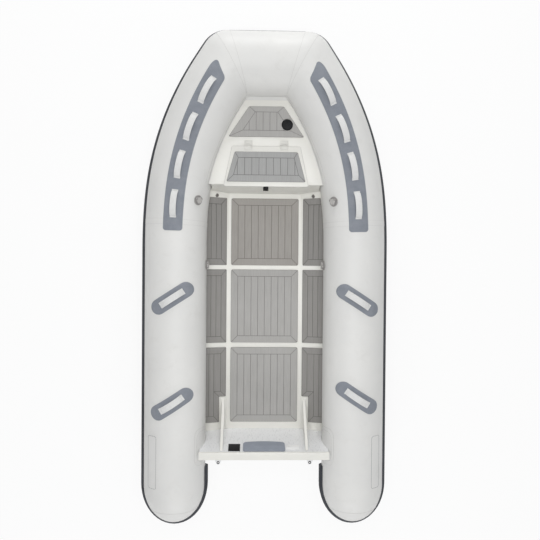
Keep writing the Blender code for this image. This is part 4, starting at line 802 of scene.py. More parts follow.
def on_crown(distance, out, lift, sign):
    """A point of the tube's skin: so far along the crown and so far outboard of it."""
    place = station_at(distance).point(CROWN - out / TUBE_R, lift)
    return (place.x * sign, place.y, place.z)


def lay_on_tube(piece, lift, thickness, sign, rim=0.0006):
    """Bends a flat patch round the tube: u runs along the crown and v goes outboard."""
    for point in piece.data.vertices:
        point.co = on_crown(point.co.x, point.co.y, lift, sign)
    even_out(piece)
    thicken(piece, thickness)
    if rim > 0:
        round_edges(piece, rim, 2, 50)


def make_long_patches():
    aft, nose = (distance_at(y) for y in LONG_PATCH_ENDS)
    half = LONG_PATCH_HALF
    outline = [(aft, -half), (nose - 0.085, -half), (nose - 0.020, half * 0.62),
               (nose - 0.052, half), (aft, half)]
    for side, sign in SIDES:
        patch = cut_patch(side + "_long_patch", outline, 0.020, LONG_SLICE)
        lay_on_tube(patch, GAP, PATCH_T, sign)
        fit_out(patch, "boat", "patch_fabric", [side + "_grip_patch"], 40)


def make_short_patches():
    half, run = SHORT_PATCH_HALF, SHORT_PATCH_REACH - SHORT_PATCH_HALF
    outline = []
    for end in (1, -1):
        for k in range(13):
            turn = math.pi * (k / 12 - 0.5)
            outline.append((end * (run + half * math.cos(turn)), end * half * math.sin(turn)))
    for name, (sign, y) in HANDLE_ROWS.items():
        patch = cut_patch(name + "_oval_patch", outline, 0.0)
        for point in patch.data.vertices:
            plan = HANDLE_ALONG * point.co.x + HANDLE_ACROSS * point.co.y
            out = math.asin(plan.x / TUBE_R) * TUBE_R
            point.co = (y - CONE_Y + plan.y, out, 0.0)
        lay_on_tube(patch, GAP, PATCH_T, sign)
        fit_out(patch, "boat", "patch_fabric", [name + "_handle_patch"], 40)


make_long_patches()
make_short_patches()


# Webbing straps
STRAP_TAB = 0.013
STRAP_T = 0.0028
ARCH_POWER = 0.55
GRIP_LENGTH, GRIP_HALF, GRIP_RISE = 0.186, 0.0205, 0.0275
GRIP_PLACES = (("first", 1.244), ("second", 1.012), ("third", 0.769), ("fourth", 0.513))
HANDLE_LENGTH, HANDLE_HALF, HANDLE_RISE = 0.184, 0.0215, 0.0215


def arch(position, length, rise):
    span = length / 2 - STRAP_TAB
    if abs(position) >= span:
        return 0.0
    return rise * (1 - (position / span) ** 2) ** ARCH_POWER


def strap_steps(length, count=24):
    """Places along a strap, closer together towards the arch's feet."""
    span = length / 2 - STRAP_TAB
    inner = [span * math.sin(math.pi * (k / count - 0.5)) for k in range(count + 1)]
    ends = [length / 2 - STRAP_TAB * k / 3 for k in range(3)]
    return [-e for e in ends] + inner + list(reversed(ends))


def webbing(name, length, half, put, node):
    """A strap laid point by point: put gives the place for a step along and one across."""
    steps = strap_steps(length)

    def place(i, j):
        return put(steps[j], half * (i / 2 - 1))

    strap = lay_sheet(name, 4, len(steps) - 1, place, 2 * half, length)
    even_out(strap)
    thicken(strap, STRAP_T)
    round_edges(strap, 0.0009, 2, 60)
    fit_out(strap, "boat", "strap_webbing", [node], 60)


def make_long_straps():
    for side, sign in SIDES:
        for order, y in GRIP_PLACES:
            middle = distance_at(y)

            def put(along, out):
                station = station_at(middle + along)
                lift = arch(along, GRIP_LENGTH, GRIP_RISE)
                point = station.point(CROWN - out / TUBE_R, STRAP_T)
                point += station.outward * lift * 0.1
                return Vector((point.x * sign, point.y, point.z + lift))

            name = side + "_" + order
            webbing(name + "_webbing_grip", GRIP_LENGTH, GRIP_HALF, put, name + "_grip_strap")


def make_short_straps():
    for name, (sign, y) in HANDLE_ROWS.items():
        def put(along, out):
            plan = HANDLE_ALONG * along + HANDLE_ACROSS * out
            skin = TUBE_Z + math.sqrt((TUBE_R + STRAP_T) ** 2 - plan.x ** 2)
            lift = arch(along, HANDLE_LENGTH, HANDLE_RISE)
            return Vector(((TUBE_X + plan.x) * sign, y + plan.y, skin + lift))

        webbing(name + "_webbing_handle", HANDLE_LENGTH, HANDLE_HALF, put, name + "_handle_strap")


make_long_straps()
make_short_straps()


# Foam decking
FACET = FULL_TURN / 28
PAD_ROWS = {"fore": (0.106, 0.589), "middle": (-0.4546, 0.0745), "aft": (-1.031, -0.4895)}
ROW_AFT, ROW_FORE = PAD_ROWS["fore"]
ROW_STEPS = spread(ROW_AFT, ROW_FORE, 7)
DECK_LINES = [TOE_Y, 0.0745] + ROW_STEPS + [0.624, 0.652, 0.800]
SLICES = ROW_STEPS + [-0.1, -0.3, -0.6, -0.8, -0.9]
CENTRE_PAD_HALF = 0.243
SIDE_PAD_X = 0.275
SIDE_PAD_GAP = 0.0010
SIDE_EDGE, SIDE_END, SIDE_PLANK = 0.038, 0.045, 0.036
BAY_DEPTH, KNEE_Y = 0.048, -0.845
GROOVE = 0.0014
FOAM = 0.0052
BACKING = 0.0037
DRILL = (-0.02, 0.03)


def deck_edge(y):
    """Outer edge of the deck's side, on the flat of the hull's skin."""
    share = min(1.0, max(0.0, (y - ROW_AFT) / (ROW_FORE - ROW_AFT)))
    angle = math.pi + math.radians(30.0 - 9.0 * share)
    middle = (math.floor(angle / FACET) + 0.5) * FACET
    flat = math.cos(FACET / 2) / math.cos(angle - middle)
    return skin_at(y, angle, TUBE_R * (flat - 1) + 0.0015)


def deck_height(x, y):
    """Height of the deck under a point: flat between the folds, rising to the tubes."""
    x = abs(x)
    if x <= FOLD_X:
        return DECK_Z
    low = max((line for line in DECK_LINES if line <= y), default=DECK_LINES[0])
    high = min((line for line in DECK_LINES if line > y), default=DECK_LINES[-1])
    edges = (deck_edge(low), deck_edge(high))
    rise = [(edge.z - DECK_Z) * (x - FOLD_X) / (edge.x - FOLD_X) for edge in edges]
    share = (y - low) / (high - low) if high > low else 0.0
    return DECK_Z + rise[0] + (rise[1] - rise[0]) * share


def corners_of(points):
    """Each corner of an outline with the corners before and after it."""
    ring = [Vector(point) for point in points]
    return zip(ring[-1:] + ring[:-1], ring, ring[1:] + ring[:1])


def is_left_turning(points):
    return sum(a[0] * b[1] - b[0] * a[1] for a, b in zip(points, points[1:] + points[:1])) > 0


def shrink(points, step):
    """An outline drawn in by one step on every side, corner by corner."""
    sign = 1 if is_left_turning(points) else -1
    result = []
    for last, here, after in corners_of(points):
        first, second = (here - last).normalized(), (after - here).normalized()
        normal_a = Vector((-first.y, first.x)) * sign
        normal_b = Vector((-second.y, second.x)) * sign
        reach = step / max(0.2, 1 + normal_a.dot(normal_b))
        result.append(tuple(here + (normal_a + normal_b) * reach))
    return result


def draw_in(points, step):
    """A convex strip with every side moved in by one step; short sides may vanish."""
    result = ring = points if is_left_turning(points) else points[::-1]
    for _, here, after in corners_of(ring):
        if (after - here).length < 1e-6:
            continue
        along = (after - here).normalized()
        out = Vector((along.y, -along.x))
        result = clip(result, out.x, out.y, out.dot(here) - step)
    return result


def is_convex(points):
    """True where an outline turns one way at all its corners."""
    turns = [(here.x - last.x) * (after.y - here.y) - (here.y - last.y) * (after.x - here.x)
             for last, here, after in corners_of(points)]
    return min(turns) > -1e-9 or max(turns) < 1e-9


def clip(points, a, b, limit):
    """The part of a convex outline where a * x + b * y stays under the limit."""
    result = []
    for p, q in zip(points, points[1:] + points[:1]):
        dp, dq = a * p[0] + b * p[1] - limit, a * q[0] + b * q[1] - limit
        if dp <= 0:
            result.append(p)
        if dp * dq < 0:
            share = dp / (dp - dq)
            result.append((p[0] + (q[0] - p[0]) * share, p[1] + (q[1] - p[1]) * share))
    return result


def mitred_strips(corners, widths, plank, start_x=0.0):
    """Border strips with mitred ends round a four sided pad, and planks along the boat inside."""
    lines = []
    for k in range(4):
        p, q = Vector(corners[k]), Vector(corners[(k + 1) % 4])
        along = (q - p).normalized()
        inward = Vector((-along.y, along.x))
        lines.append((p + inward * widths[k], along))
    inner = []
    for k in range(4):
        (p, d), (q, e) = lines[k - 1], lines[k]
        cross = d.x * e.y - d.y * e.x
        share = ((q.x - p.x) * e.y - (q.y - p.y) * e.x) / cross
        inner.append(tuple(p + d * share))
    strips = []
    for k in range(4):
        after = (k + 1) % 4
        strips.append([corners[k], corners[after], inner[after], inner[k]])
    low, high = min(x for x, y in inner), max(x for x, y in inner)
    first = start_x - plank * math.ceil((start_x - low) / plank)
    for k in range(math.ceil((high - low) / plank) + 2):
        near = first + plank * k
        part = clip(clip(inner, 1, 0, near + plank), -1, 0, -near)
        if len(part) >= 3 and max(x for x, y in part) - min(x for x, y in part) > 0.004:
            strips.append(part)
    return strips


def foam_pad(name, outline, corner, strips, hole=None):
    """Foam decking: a dark backing sheet with bevelled planks standing on it."""
    backing = raised_plate(name, outline, corner, 0.0, BACKING)
    planks = []
    for strip in strips:
        face = draw_in(strip, GROOVE) if is_convex(strip) else shrink(strip, GROOVE)
        if len(face) >= 3:
            planks.append(raised_plate(name + "_plank", face, 0.0, BACKING - 0.0004, FOAM))
    planks = join_pieces(planks, name + "_planks")
    trim(planks, raised_plate(name + "_edge", shrink(outline, GROOVE), corner, -0.01, 0.02))
    if hole:
        (x, y), radius = hole
        for target in (planks, backing):
            profile = [(radius, height) for height in DRILL]
            trim(target, turned(name + "_hole", profile, 40, (x, y, 0)), "DIFFERENCE")
    round_edges(planks, 0.0005, 1, 40)
    return backing, planks


def lay_on_deck(piece):
    """Cuts the pad across at each line of the deck and lowers it onto the slope."""
    low = min(v.co.y for v in piece.data.vertices)
    high = max(v.co.y for v in piece.data.vertices)
    open_piece(piece)
    for line in SLICES:
        if low + 0.002 < line < high - 0.002:
            bpy.ops.mesh.select_all(action="SELECT")
            bpy.ops.mesh.bisect(plane_co=(0, line, 0), plane_no=(0, 1, 0))
    bpy.ops.object.mode_set(mode="OBJECT")
    for point in piece.data.vertices:
        point.co.z += deck_height(point.co.x, point.co.y) + SIDE_PAD_GAP


def finish_pad(parts, name, body, node, foam, height=None):
    """Marks backing as groove (1) and planks as top (0), then joins and fits out the pad."""
    for piece, value in zip(parts, (1.0, 0.0)):
        if height is not None:
            settle(piece, Matrix.Translation((0, 0, height)))
        mark_groove(piece, lambda place: value)
    pad = join_pieces(parts, name)
    fit_out(pad, body, foam, [node], 30, "deck_foam")


def make_centre_pads():
    half = CENTRE_PAD_HALF
    for row, (aft, fore) in PAD_ROWS.items():
        corners = [(-half, aft), (half, aft), (half, fore), (-half, fore)]
        name = row + "_centre_decking"
        parts = foam_pad(name, corners, 0.012, mitred_strips(corners, [0.049] * 4, 0.0485))
        # The fore row takes the darker copy of the foam: painted shade near the locker.
        foam = "fore_foam_painted_shade" if row == "fore" else "deck_foam"
        finish_pad(parts, name, "boat", row + "_centre_pad", foam, DECK_Z + GAP)


def side_strips(row, inner, outer, aft, fore):
    """Strips of the starboard side pad: border inboard and at the ends, planks outboard."""
    wide = outer + 0.02

    def corner(x, y, step_x, step_y):
        return (x, y), (x + step_x, y + step_y)

    def upright(a, b):
        return [a[0], a[1], b[1], b[0]]

    def level(a, b):
        return [a[0], b[0], b[1], a[1]]

    front = corner(inner, fore, SIDE_EDGE, -SIDE_END)
    front_end = corner(wide, fore, 0.0, -SIDE_END)
    back_end = corner(wide, aft, 0.0, SIDE_END)
    if row == "aft":
        bay = inner + BAY_DEPTH
        knee = corner(inner, KNEE_Y, SIDE_EDGE, SIDE_EDGE)
        knee_end = corner(bay, KNEE_Y, SIDE_EDGE, SIDE_EDGE)
        back = corner(bay, aft, SIDE_EDGE, SIDE_END)
        start = bay + SIDE_EDGE
        strips = [upright(knee, front), level(knee, knee_end), upright(back, knee_end),
                  level(back, back_end), upright(front, front_end),
                  [knee[1], knee_end[1], (start, fore - SIDE_END), front[1]]]
    else:
        back = corner(inner, aft, SIDE_EDGE, SIDE_END)
        start = inner + SIDE_EDGE
        strips = [upright(back, front), level(back, back_end), upright(front, front_end)]
    while start < outer:
        after = start + SIDE_PLANK
        strips.append([(start, aft + SIDE_END), (after, aft + SIDE_END),
                       (after, fore - SIDE_END), (start, fore - SIDE_END)])
        start = after
    return strips


def make_side_pads():
    for row, (aft, fore) in PAD_ROWS.items():
        lines = [aft] + [y for y in DECK_LINES if aft + 0.001 < y < fore - 0.001] + [fore]
        outer = [(deck_edge(y).x - 0.010, y) for y in lines]
        outline = [(SIDE_PAD_X, aft)] + outer + [(SIDE_PAD_X, fore)]
        if row == "aft":
            bay = SIDE_PAD_X + BAY_DEPTH
            outline = [(bay, aft)] + outline[1:] + [(SIDE_PAD_X, KNEE_Y), (bay, KNEE_Y)]
        strips = side_strips(row, SIDE_PAD_X, max(x for x, y in outer), aft, fore)
        name = "_" + row + "_side_"
        parts = foam_pad("starboard" + name + "decking", outline, 0.006, strips)
        for piece in parts:
            lay_on_deck(piece)
        twins = [copy_piece(p, p.name.replace("starboard", "port"), MIRROR) for p in parts]
        for side, pieces in (("starboard", parts), ("port", twins)):
            # The side pads take the darker copy of the foam: painted shade under the tubes.
            finish_pad(pieces, side + name + "decking", "boat", side + name + "pad", "side_foam")


TOP_PADS = {
    "lid": (
        [(-0.270, 0.677), (0.270, 0.677), (0.215, 0.880), (-0.215, 0.880)],
        # The lid takes a darker, cooler copy of the same foam: painted shade.
        [0.046, 0.034, 0.040, 0.034], 0.049, 0.0, None, "lid", "lid_foam_painted_shade", LID_Z,
    ),
    "foredeck": (
        [(-0.258, 0.983), (0.258, 0.983), (0.119, 1.190), (-0.119, 1.190)],
        [0.044, 0.056, 0.038, 0.056], 0.047, 0.0235, (PORT_PLACE, 0.0420), "boat", "deck_foam",
        FOREDECK_Z,
    ),
}


def make_top_pads():
    for place, (corners, widths, plank, start, hole, body, foam, height) in TOP_PADS.items():
        name = place + "_decking"
        strips = mitred_strips(corners, widths, plank, start)
        parts = foam_pad(name, corners, 0.010, strips, hole)
        finish_pad(parts, name, body, place + "_pad", foam, height)


make_centre_pads()
make_side_pads()
make_top_pads()


# Seams and flaps on the tubes
TAPE_LIFT, TAPE_T = 0.0003, 0.0007
LINE_LIFT = 0.0006
TAPE_HALF = 0.017
TAPE_COLUMNS, TAPE_EDGE_STEPS = 64, 72
WRAP = (math.radians(-100), math.radians(190))
MITRE_WRAP = (math.radians(12), math.radians(168))
CORNER_SEAM_DEGREES = (60, 74)
CONE_SEAM_DEGREES = [36.0 + 1.6 * k for k in range(4)]
DOUBLERS = ((-1.262, -1.010, -0.330, -0.166), (-1.240, -1.032, -0.330, -0.186))
BARE_PANEL = (-1.400, -1.045, 0.108, 0.184)
FLAP_STEPS = (0.0, 0.012, 0.024, 0.036)


def band(name, stations, first, last):
    """A strip of fabric glued round the tube, from one angle to another."""
    angles = spread(first, last, TAPE_COLUMNS)

    def place(i, j):
        return stations[j].point(angles[i], TAPE_LIFT)

    strip = lay_sheet(name, TAPE_COLUMNS, len(stations) - 1, place, 0.5, 0.05)
    outside = strip.data.polygons[0].normal.dot(stations[0].point(first) - stations[0].centre)
    if outside < 0:
        strip.data.flip_normals()
    thicken(strip, TAPE_T)
    fit_out(strip, "boat", "tube_fabric", (), 40)


def trace(name, points, radius, paint="glue_line", closed=False):
    """A thin raised line along a path: a curve with a round section, turned into a mesh."""
    curve = bpy.data.curves.new(name, "CURVE")
    curve.dimensions = "3D"
    curve.bevel_depth = radius
    curve.bevel_resolution = 1
    curve.use_fill_caps = not closed
    spline = curve.splines.new("POLY")
    spline.points.add(len(points) - 1)
    for point, place in zip(spline.points, points):
        point.co = (*place, 1.0)
    spline.use_cyclic_u = closed
    piece = bpy.data.objects.new(name, curve)
    bpy.context.scene.collection.objects.link(piece)
    take(piece)
    bpy.ops.object.convert(target="MESH")
    fit_out(named(name), "boat", paint, (), 60, "tube_fabric")


def rim_of(patch):
    """The flat patch's outline, point after point."""
    mesh = bmesh.new()
    mesh.from_mesh(patch.data)
    follow = {}
    for edge in mesh.edges:
        if len(edge.link_faces) == 1:
            a, b = edge.verts
            follow.setdefault(a.index, []).append(b.index)
            follow.setdefault(b.index, []).append(a.index)
    places = {v.index: (v.co.x, v.co.y) for v in mesh.verts}
    mesh.free()
    first = next(iter(follow))
    order, last, here = [first], first, follow[first][0]
    while here != first:
        order.append(here)
        last, here = here, next(k for k in follow[here] if k != last)
    return [places[k] for k in order]


def glued_sheet(name, rim_name, box, corner, lift, thickness, sign, line_lift, line):
    """A thin sheet glued to the tube, with a fine line round its rim."""
    aft, fore, low, top = box
    u0, u1 = aft - CONE_Y, fore - CONE_Y
    patch = cut_patch(name, [(u0, low), (u1, low), (u1, top), (u0, top)], corner)
    rim = [on_crown(u, v, line_lift, sign) for u, v in rim_of(patch)]
    lay_on_tube(patch, lift, thickness, sign, 0.0)
    fit_out(patch, "boat", "tube_fabric", (), 40)
    trace(rim_name, rim, *line, True)


def make_seams():
    middle = distance_at(SEAM_Y)
    low, high = CORNER_SEAM_DEGREES
    ring = [station_at(middle + step) for step in (-TAPE_HALF, 0.0, TAPE_HALF)]
    fan = [s for s in CORNER if low < math.degrees(math.atan2(s.outward.y, s.outward.x)) < high]
    cone = [cone_station(math.radians(degrees)) for degrees in CONE_SEAM_DEGREES]
    tapes = (
        ("chamber_seam_tape", ring, WRAP, "soft_line", (0, -1)),
        ("mitre_tape", fan, MITRE_WRAP, "glue_line", (0, -1)),
        ("cone_seam_tape", cone, (0.0, FULL_TURN), "soft_line", (0,)),
    )
    for side, sign in reversed(SIDES):
        for name, stations, angles, paint, edges in tapes:
            if sign < 0:
                stations = [station.mirrored() for station in stations]
            band(side + "_" + name, stations, *angles)
            for order, edge in enumerate(edges):
                turns = spread(*angles, TAPE_EDGE_STEPS)
                path = [stations[edge].point(turn, LINE_LIFT) for turn in turns]
                trace("%s_%s_edge_%d" % (side, name, order), path, 0.0008, paint)


def make_doublers():
    """Two layers of fabric on the tube where the transom's edge is bonded."""
    for side, sign in SIDES:
        for layer, box in enumerate(DOUBLERS):
            names = ("%s_doubler_%d" % (side, layer), "%s_doubler_edge_%d" % (side, layer))
            glued_sheet(*names, box, 0.05, GAP + 0.0003 * layer, 0.0003, sign, LINE_LIFT,
                        (0.0008, "glue_line"))


def make_bare_panels():
    """Smooth bare panels with a thin border on the outboard side of each stern."""
    for side, sign in SIDES:
        names = (side + "_bare_panel", side + "_bare_panel_border")
        glued_sheet(*names, BARE_PANEL, 0.014, GAP, 0.0004, sign, 0.0007, (0.0009, "border_line"))


def make_locker_flap():
    """The flap that bonds the locker's edge to the tubes all the way round the bow."""
    start = solve(lambda s: side_station(s).point(math.pi).y - LOCKER_AFT, CURVE_Y, CORNER_Y)
    starboard = [side_station(y) for y in spread(start, CORNER_Y, 16)[:-1]]
    starboard += run_of_tube(CORNER_Y - 0.001)[2:]
    rows = []
    for station in whole_bow(starboard):
        meet = math.pi - math.asin((LOCKER_TOP - 0.009 - station.centre.z) / TUBE_R)
        foot = station.point(meet, TAPE_LIFT)
        inside = foot - station.outward * (0.0105 if station in CORNER else 0.015)
        inside.y = min(inside.y, LOCKER_FRONT - 0.006)
        inside.z = LOCKER_TOP - 0.0052
        middle = inside.lerp(foot, 0.6)
        middle.z = LOCKER_TOP - 0.0095
        glued = [station.point(meet - step / TUBE_R, TAPE_LIFT) for step in FLAP_STEPS]
        rows.append([inside, middle, *glued])
    flap = lay_sheet("locker_bonding_flap", 5, len(rows) - 1, lambda i, j: rows[j][i], 0.05, 2.0)
    face_up(flap)
    thicken(flap, 0.0008)
    fit_out(flap, "boat", "tube_fabric", (), 45)
    trace("locker_flap_edge", [row[-1] for row in rows], 0.0010)
    trace("locker_flap_crease", [row[2] + Vector((0, 0, 0.001)) for row in rows], 0.0009)


make_seams()
make_doublers()
make_bare_panels()
make_locker_flap()


# Valves
VALVE_SEATS = {
    "fore": ((0.45851, 0.54184, 0.43697), (-0.698485, -0.113886, 0.706505)),
    "aft": ((0.41236, 0.108, 0.30364), (-0.993712, 0.0, 0.111964)),
}
FLANGE_PROFILE = [
    (0.0200, -0.0300), (0.0218, -0.0288), (0.0218, 0.0007), (0.0334, 0.0008), (0.0340, 0.0016),
    (0.0340, 0.0030), (0.0330, 0.0042), (0.0308, 0.0048), (0.0298, 0.0042), (0.0288, 0.0042),
    (0.0282, 0.0047), (0.0196, 0.0047), (0.0190, 0.0040), (0.0190, -0.0240),
]
CAP_PROFILE = [
    (0.0160, -0.0110), (0.0172, -0.0100), (0.0172, 0.0055), (0.0268, 0.0055), (0.0284, 0.0062),
    (0.0285, 0.0078), (0.0279, 0.0088), (0.0266, 0.0091), (0.0232, 0.0092), (0.0228, 0.0100),
    (0.0228, 0.0190), (0.0219, 0.0203), (0.0202, 0.0208), (0.0110, 0.0208), (0.0098, 0.0198),
    (0.0040, 0.0196),
]
LOBE_SWELL, LOBE_FROM, LOBE_RADIUS = 0.20, 0.0091, 0.010
# Radius bands of the cap's recessed ring and the flange's rim groove, darkened as painted shade.
CAP_SHADE_RING, FLANGE_SHADE_RING = (0.0225, 0.0262), (0.0287, 0.0300)
LOBE_FOOT = 0.0125


def stand_on(point, axis):
    """The matrix that stands a turned piece at a point with its own z along the axis."""
    axis = Vector(axis).normalized()
    first = axis.orthogonal().normalized()
    turn = Matrix((first, axis.cross(first), axis)).transposed().to_4x4()
    return Matrix.Translation(Vector(point)) @ turn


def make_valves():
    """Valve bodies with a stepped flange, and screw caps with three lobes."""
    first_flange = turned("valve_flange", FLANGE_PROFILE, 64)
    first_cap = turned("valve_cap", CAP_PROFILE, 72)
    for point in first_cap.data.vertices:
        radius = math.hypot(point.co.x, point.co.y)
        if radius > LOBE_RADIUS and point.co.z > LOBE_FROM:
            swell = 1 + LOBE_SWELL * math.cos(3 * math.atan2(point.co.y, point.co.x))
            point.co.x *= swell
            point.co.y *= swell
    round_edges(first_cap, 0.0004, 2, 50)
    # The recessed rings and the foot of the cap's lobes are marked for painted shade; the flange
    # also takes a quarter of the darker tone all over.
    for piece, (low, high), foot, least in (
        (first_cap, CAP_SHADE_RING, LOBE_FOOT, 0.0), (first_flange, FLANGE_SHADE_RING, -1.0, 0.25),
    ):
        def painted_shade(place):
            return 0.7 if low < math.hypot(place.x, place.y) < high or place.z < foot else least

        mark_groove(piece, painted_shade)
    for side, sign in reversed(SIDES):
        for row, ((x, y, z), (out, fore, up)) in VALVE_SEATS.items():
            name = side + "_" + row
            matrix = stand_on((x * sign, y, z), (out * sign, fore, up))
            body = copy_piece(first_flange, name + "_valve_flange", matrix)
            fit_out(body, "boat", "valve_plastic", [name + "_valve"], 35)
            top = copy_piece(first_cap, name + "_valve_lobed_cap", matrix)
            fit_out(top, name + "_cap", "valve_plastic", [name + "_valve_cap"], 28)
    for piece in (first_flange, first_cap):
        bpy.data.objects.remove(piece, do_unlink=True)


make_valves()


# Metal and moulded pieces
COPIES = (
    ("transom", "transom_plating", "boat", "transom_paint", 0.0020, 3),
    ("bow_locker", "locker_plating", "boat", "hull_paint", 0.0014),
    ("locker_lid", "locker_lid_panel", "lid", "hull_paint", 0.0012),
    # The deck plating takes the brighter copy of the hull paint: painted light.
    ("deck_panel", "deck_plating", "boat", "deck_paint", 0.0008, 2, 20, (), "hull_paint"),
    ("hull_shell", "hull_plating", "boat", "hull_paint", 0.0010),
    ("port_transom_knee", "port_knee_brace", "boat", "hull_paint", 0.0010),
    ("starboard_transom_knee", "starboard_knee_brace", "boat", "hull_paint", 0.0010),
    ("motor_pad", "motor_mount_pad", "boat", "motor_pad_plastic", 0.0030, 3),
    ("latch_base", "latch_mount", "boat", "black_plastic", 0.0007),
    ("latch_lever", "latch_pull_lever", "latch", "black_plastic", 0.0007),
    ("drain_plug", "drain_screw_plug", "drain", "black_plastic", 0.0007),
)
SCREW_R = 0.0032
HINGE_X, HINGE_Y = 0.122, 0.928
HINGE_TOP, LEAF_TOP = FOREDECK_Z + 0.0090, LID_Z + 0.0045
HINGE_SCREWS = ((-0.018, 0.0125), (0.018, 0.0125), (-0.018, 0.0235), (0.018, 0.0235))
PORT_SCREW_RING, PORT_SCREW_Z, PORT_SCREW_R = 0.0358, 0.3868, 0.0024
PLATE_Z, PLATE_T = 0.374, 0.0012
PLATES = (
    ("dark_bare_plate", -0.205, 0.081, 0.090, "black_plastic", "black_plastic"),
    ("pale_bare_plate", 0.197, 0.090, 0.055, "pale_plate", "hinge_plastic"),
)
RIVET_PROFILE = [(0.0018, -0.0004), (0.0017, 0.0003), (0.001, 0.0007)]
RIVET_IN = 0.005
EYE_X, EYE_TOP, EYE_Z, EYE_BACK = 0.3135, 0.390, 0.3982, 0.048
RAIL_LOW, RAIL_HIGH, RAIL_HALF, RAIL_OVER = 0.4278, 0.4437, 0.4437, 0.0037
LID_OUTLINE = [(-0.2890, 0.646), (0.2890, 0.646), (0.2330, 0.918), (-0.2330, 0.918)]
LASHING_PLACE = (0.345, 0.604)
FOOT_PROFILE = [(0.013, 0.0), (0.013, 0.0022), (0.0115, 0.0036), (0.006, 0.0042)]


def screw_head(place, radius=SCREW_R):
    """A pan head with a cross recess pressed into it, facing up."""
    profile = [(radius, -0.0006), (radius, 0.0006), (radius * 0.86, 0.0013), (radius * 0.5, 0.0017)]
    head = turned("screw_head", profile, 20)
    for turn in (0.0, math.pi / 2):
        take()
        bpy.ops.mesh.primitive_cube_add(size=1.0, location=(0, 0, 0.0016), rotation=(0, 0, turn))
        slot = bpy.context.object
        slot.scale = (radius * 1.1, radius * 0.26, 0.0016)
        bpy.ops.object.transform_apply(location=True, rotation=True, scale=True)
        trim(head, slot, "DIFFERENCE")
    settle(head, stand_on(place, (0, 0, 1)))
    return head


def ring_piece(name, segments, radius, wire, place, turn=(0, 0, 0)):
    """A torus with its move and turn applied."""
    take()
    bpy.ops.mesh.primitive_torus_add(
        major_segments=segments, minor_segments=12, major_radius=radius, minor_radius=wire,
        location=place, rotation=turn,
    )
    bpy.ops.object.transform_apply(location=True, rotation=True, scale=False)
    return named(name)


def make_metalwork():
    for row in COPIES:
        rounded_copy(*row)


def make_hinges():
    halves = (("base", "plate", "boat", 1, HINGE_TOP), ("leaf", "flap", "lid", -1, LEAF_TOP))
    for side, sign in SIDES:
        x = sign * HINGE_X
        for node, half, body, way, top in halves:
            screws = [screw_head((x + dx, HINGE_Y + way * dy, top)) for dx, dy in HINGE_SCREWS]
            rounded_copy(side + "_hinge_" + node, side + "_hinge_" + half, body, "hinge_plastic",
                         0.0007, extras=screws)


def make_port():
    screws = []
    for k in range(6):
        turn = math.radians(15 + 60 * k)
        x = PORT_PLACE[0] + PORT_SCREW_RING * math.cos(turn)
        y = PORT_PLACE[1] + PORT_SCREW_RING * math.sin(turn)
        screws.append(screw_head((x, y, PORT_SCREW_Z), PORT_SCREW_R))
    rounded_copy("deck_port", "deck_port_ring", "boat", "black_plastic", 0.0006, extras=screws)
    rounded_copy("deck_port_cap", "deck_port_lid", "deck_port_cover", "black_plastic", 0.0006)


def transom_face(x, z, out):
    """A point on the transom's inner face, lifted off it along its normal."""
    return Vector((x, TOE_Y - (z - DECK_Z) * RAKE, z)) + TRANSOM_NORMAL * out


def make_plates():
    """Bare plates riveted to the transom's inner face."""
    up = Vector((0, -math.sin(LEAN), math.cos(LEAN)))
    turn = Matrix((Vector((1, 0, 0)), up, -TRANSOM_NORMAL)).transposed().to_4x4()
    for name, x, wide, high, paint, slot in PLATES:
        take()
        bpy.ops.mesh.primitive_cube_add(size=1.0)
        plate = named(name)
        plate.scale = (wide, high, PLATE_T)
        bpy.ops.object.transform_apply(location=False, rotation=False, scale=True)
        round_edges(plate, 0.0003, 2, 40)
        settle(plate, Matrix.Translation(transom_face(x, PLATE_Z, 0.0010)) @ turn)
        rivets = []
        for dx in (-1, 1):
            for dz in (-1, 1):
                z = PLATE_Z + dz * (high / 2 - RIVET_IN) * 0.966
                place = transom_face(x + dx * (wide / 2 - RIVET_IN), z, 0.0017)
                rivets.append(turned("rivet", RIVET_PROFILE, 14, place, TRANSOM_NORMAL))
        fit_out(join_pieces([plate, *rivets], name), "boat", paint, (), 30, slot)


def make_eye_bushings():
    y = TOE_Y - (EYE_TOP - DECK_Z) * RAKE - TRANSOM_DEPTH - EYE_BACK
    for side, sign in SIDES:
        ring = ring_piece(side + "_eye_bushing", 36, 0.0070, 0.0027, (sign * EYE_X, y, EYE_Z))
        fit_out(ring, "boat", "black_plastic", (), 60)


def make_cap_rail():
    """The folded cap along the transom's top edge."""
    take()
    bpy.ops.mesh.primitive_cube_add(size=2.0)
    rail = named("transom_cap_rail")
    for point in rail.data.vertices:
        side, front, up = point.co
        z = RAIL_LOW if up < 0 else RAIL_HIGH
        face = TOE_Y - (z - DECK_Z) * RAKE
        y = face + RAIL_OVER if front > 0 else face - TRANSOM_DEPTH - RAIL_OVER
        point.co = (side * RAIL_HALF, y, z)
    round_edges(rail, 0.0026, 3, 40)
    fit_out(rail, "boat", "hull_paint", (), 40)


def make_lid_shadow_line_trim():
    """A thin grey trim round the lid's edge, there to draw the lid's shadow line: painted shade."""
    ring = raised_plate("lid_edge_trim", shrink(LID_OUTLINE, -0.0016), 0.011, 0.3826, 0.3852)
    inside = raised_plate("lid_trim_inside", shrink(LID_OUTLINE, 0.0004), 0.010, 0.380, 0.388)
    trim(ring, inside, "DIFFERENCE")
    fit_out(ring, "lid", "valve_plastic", (), 40)


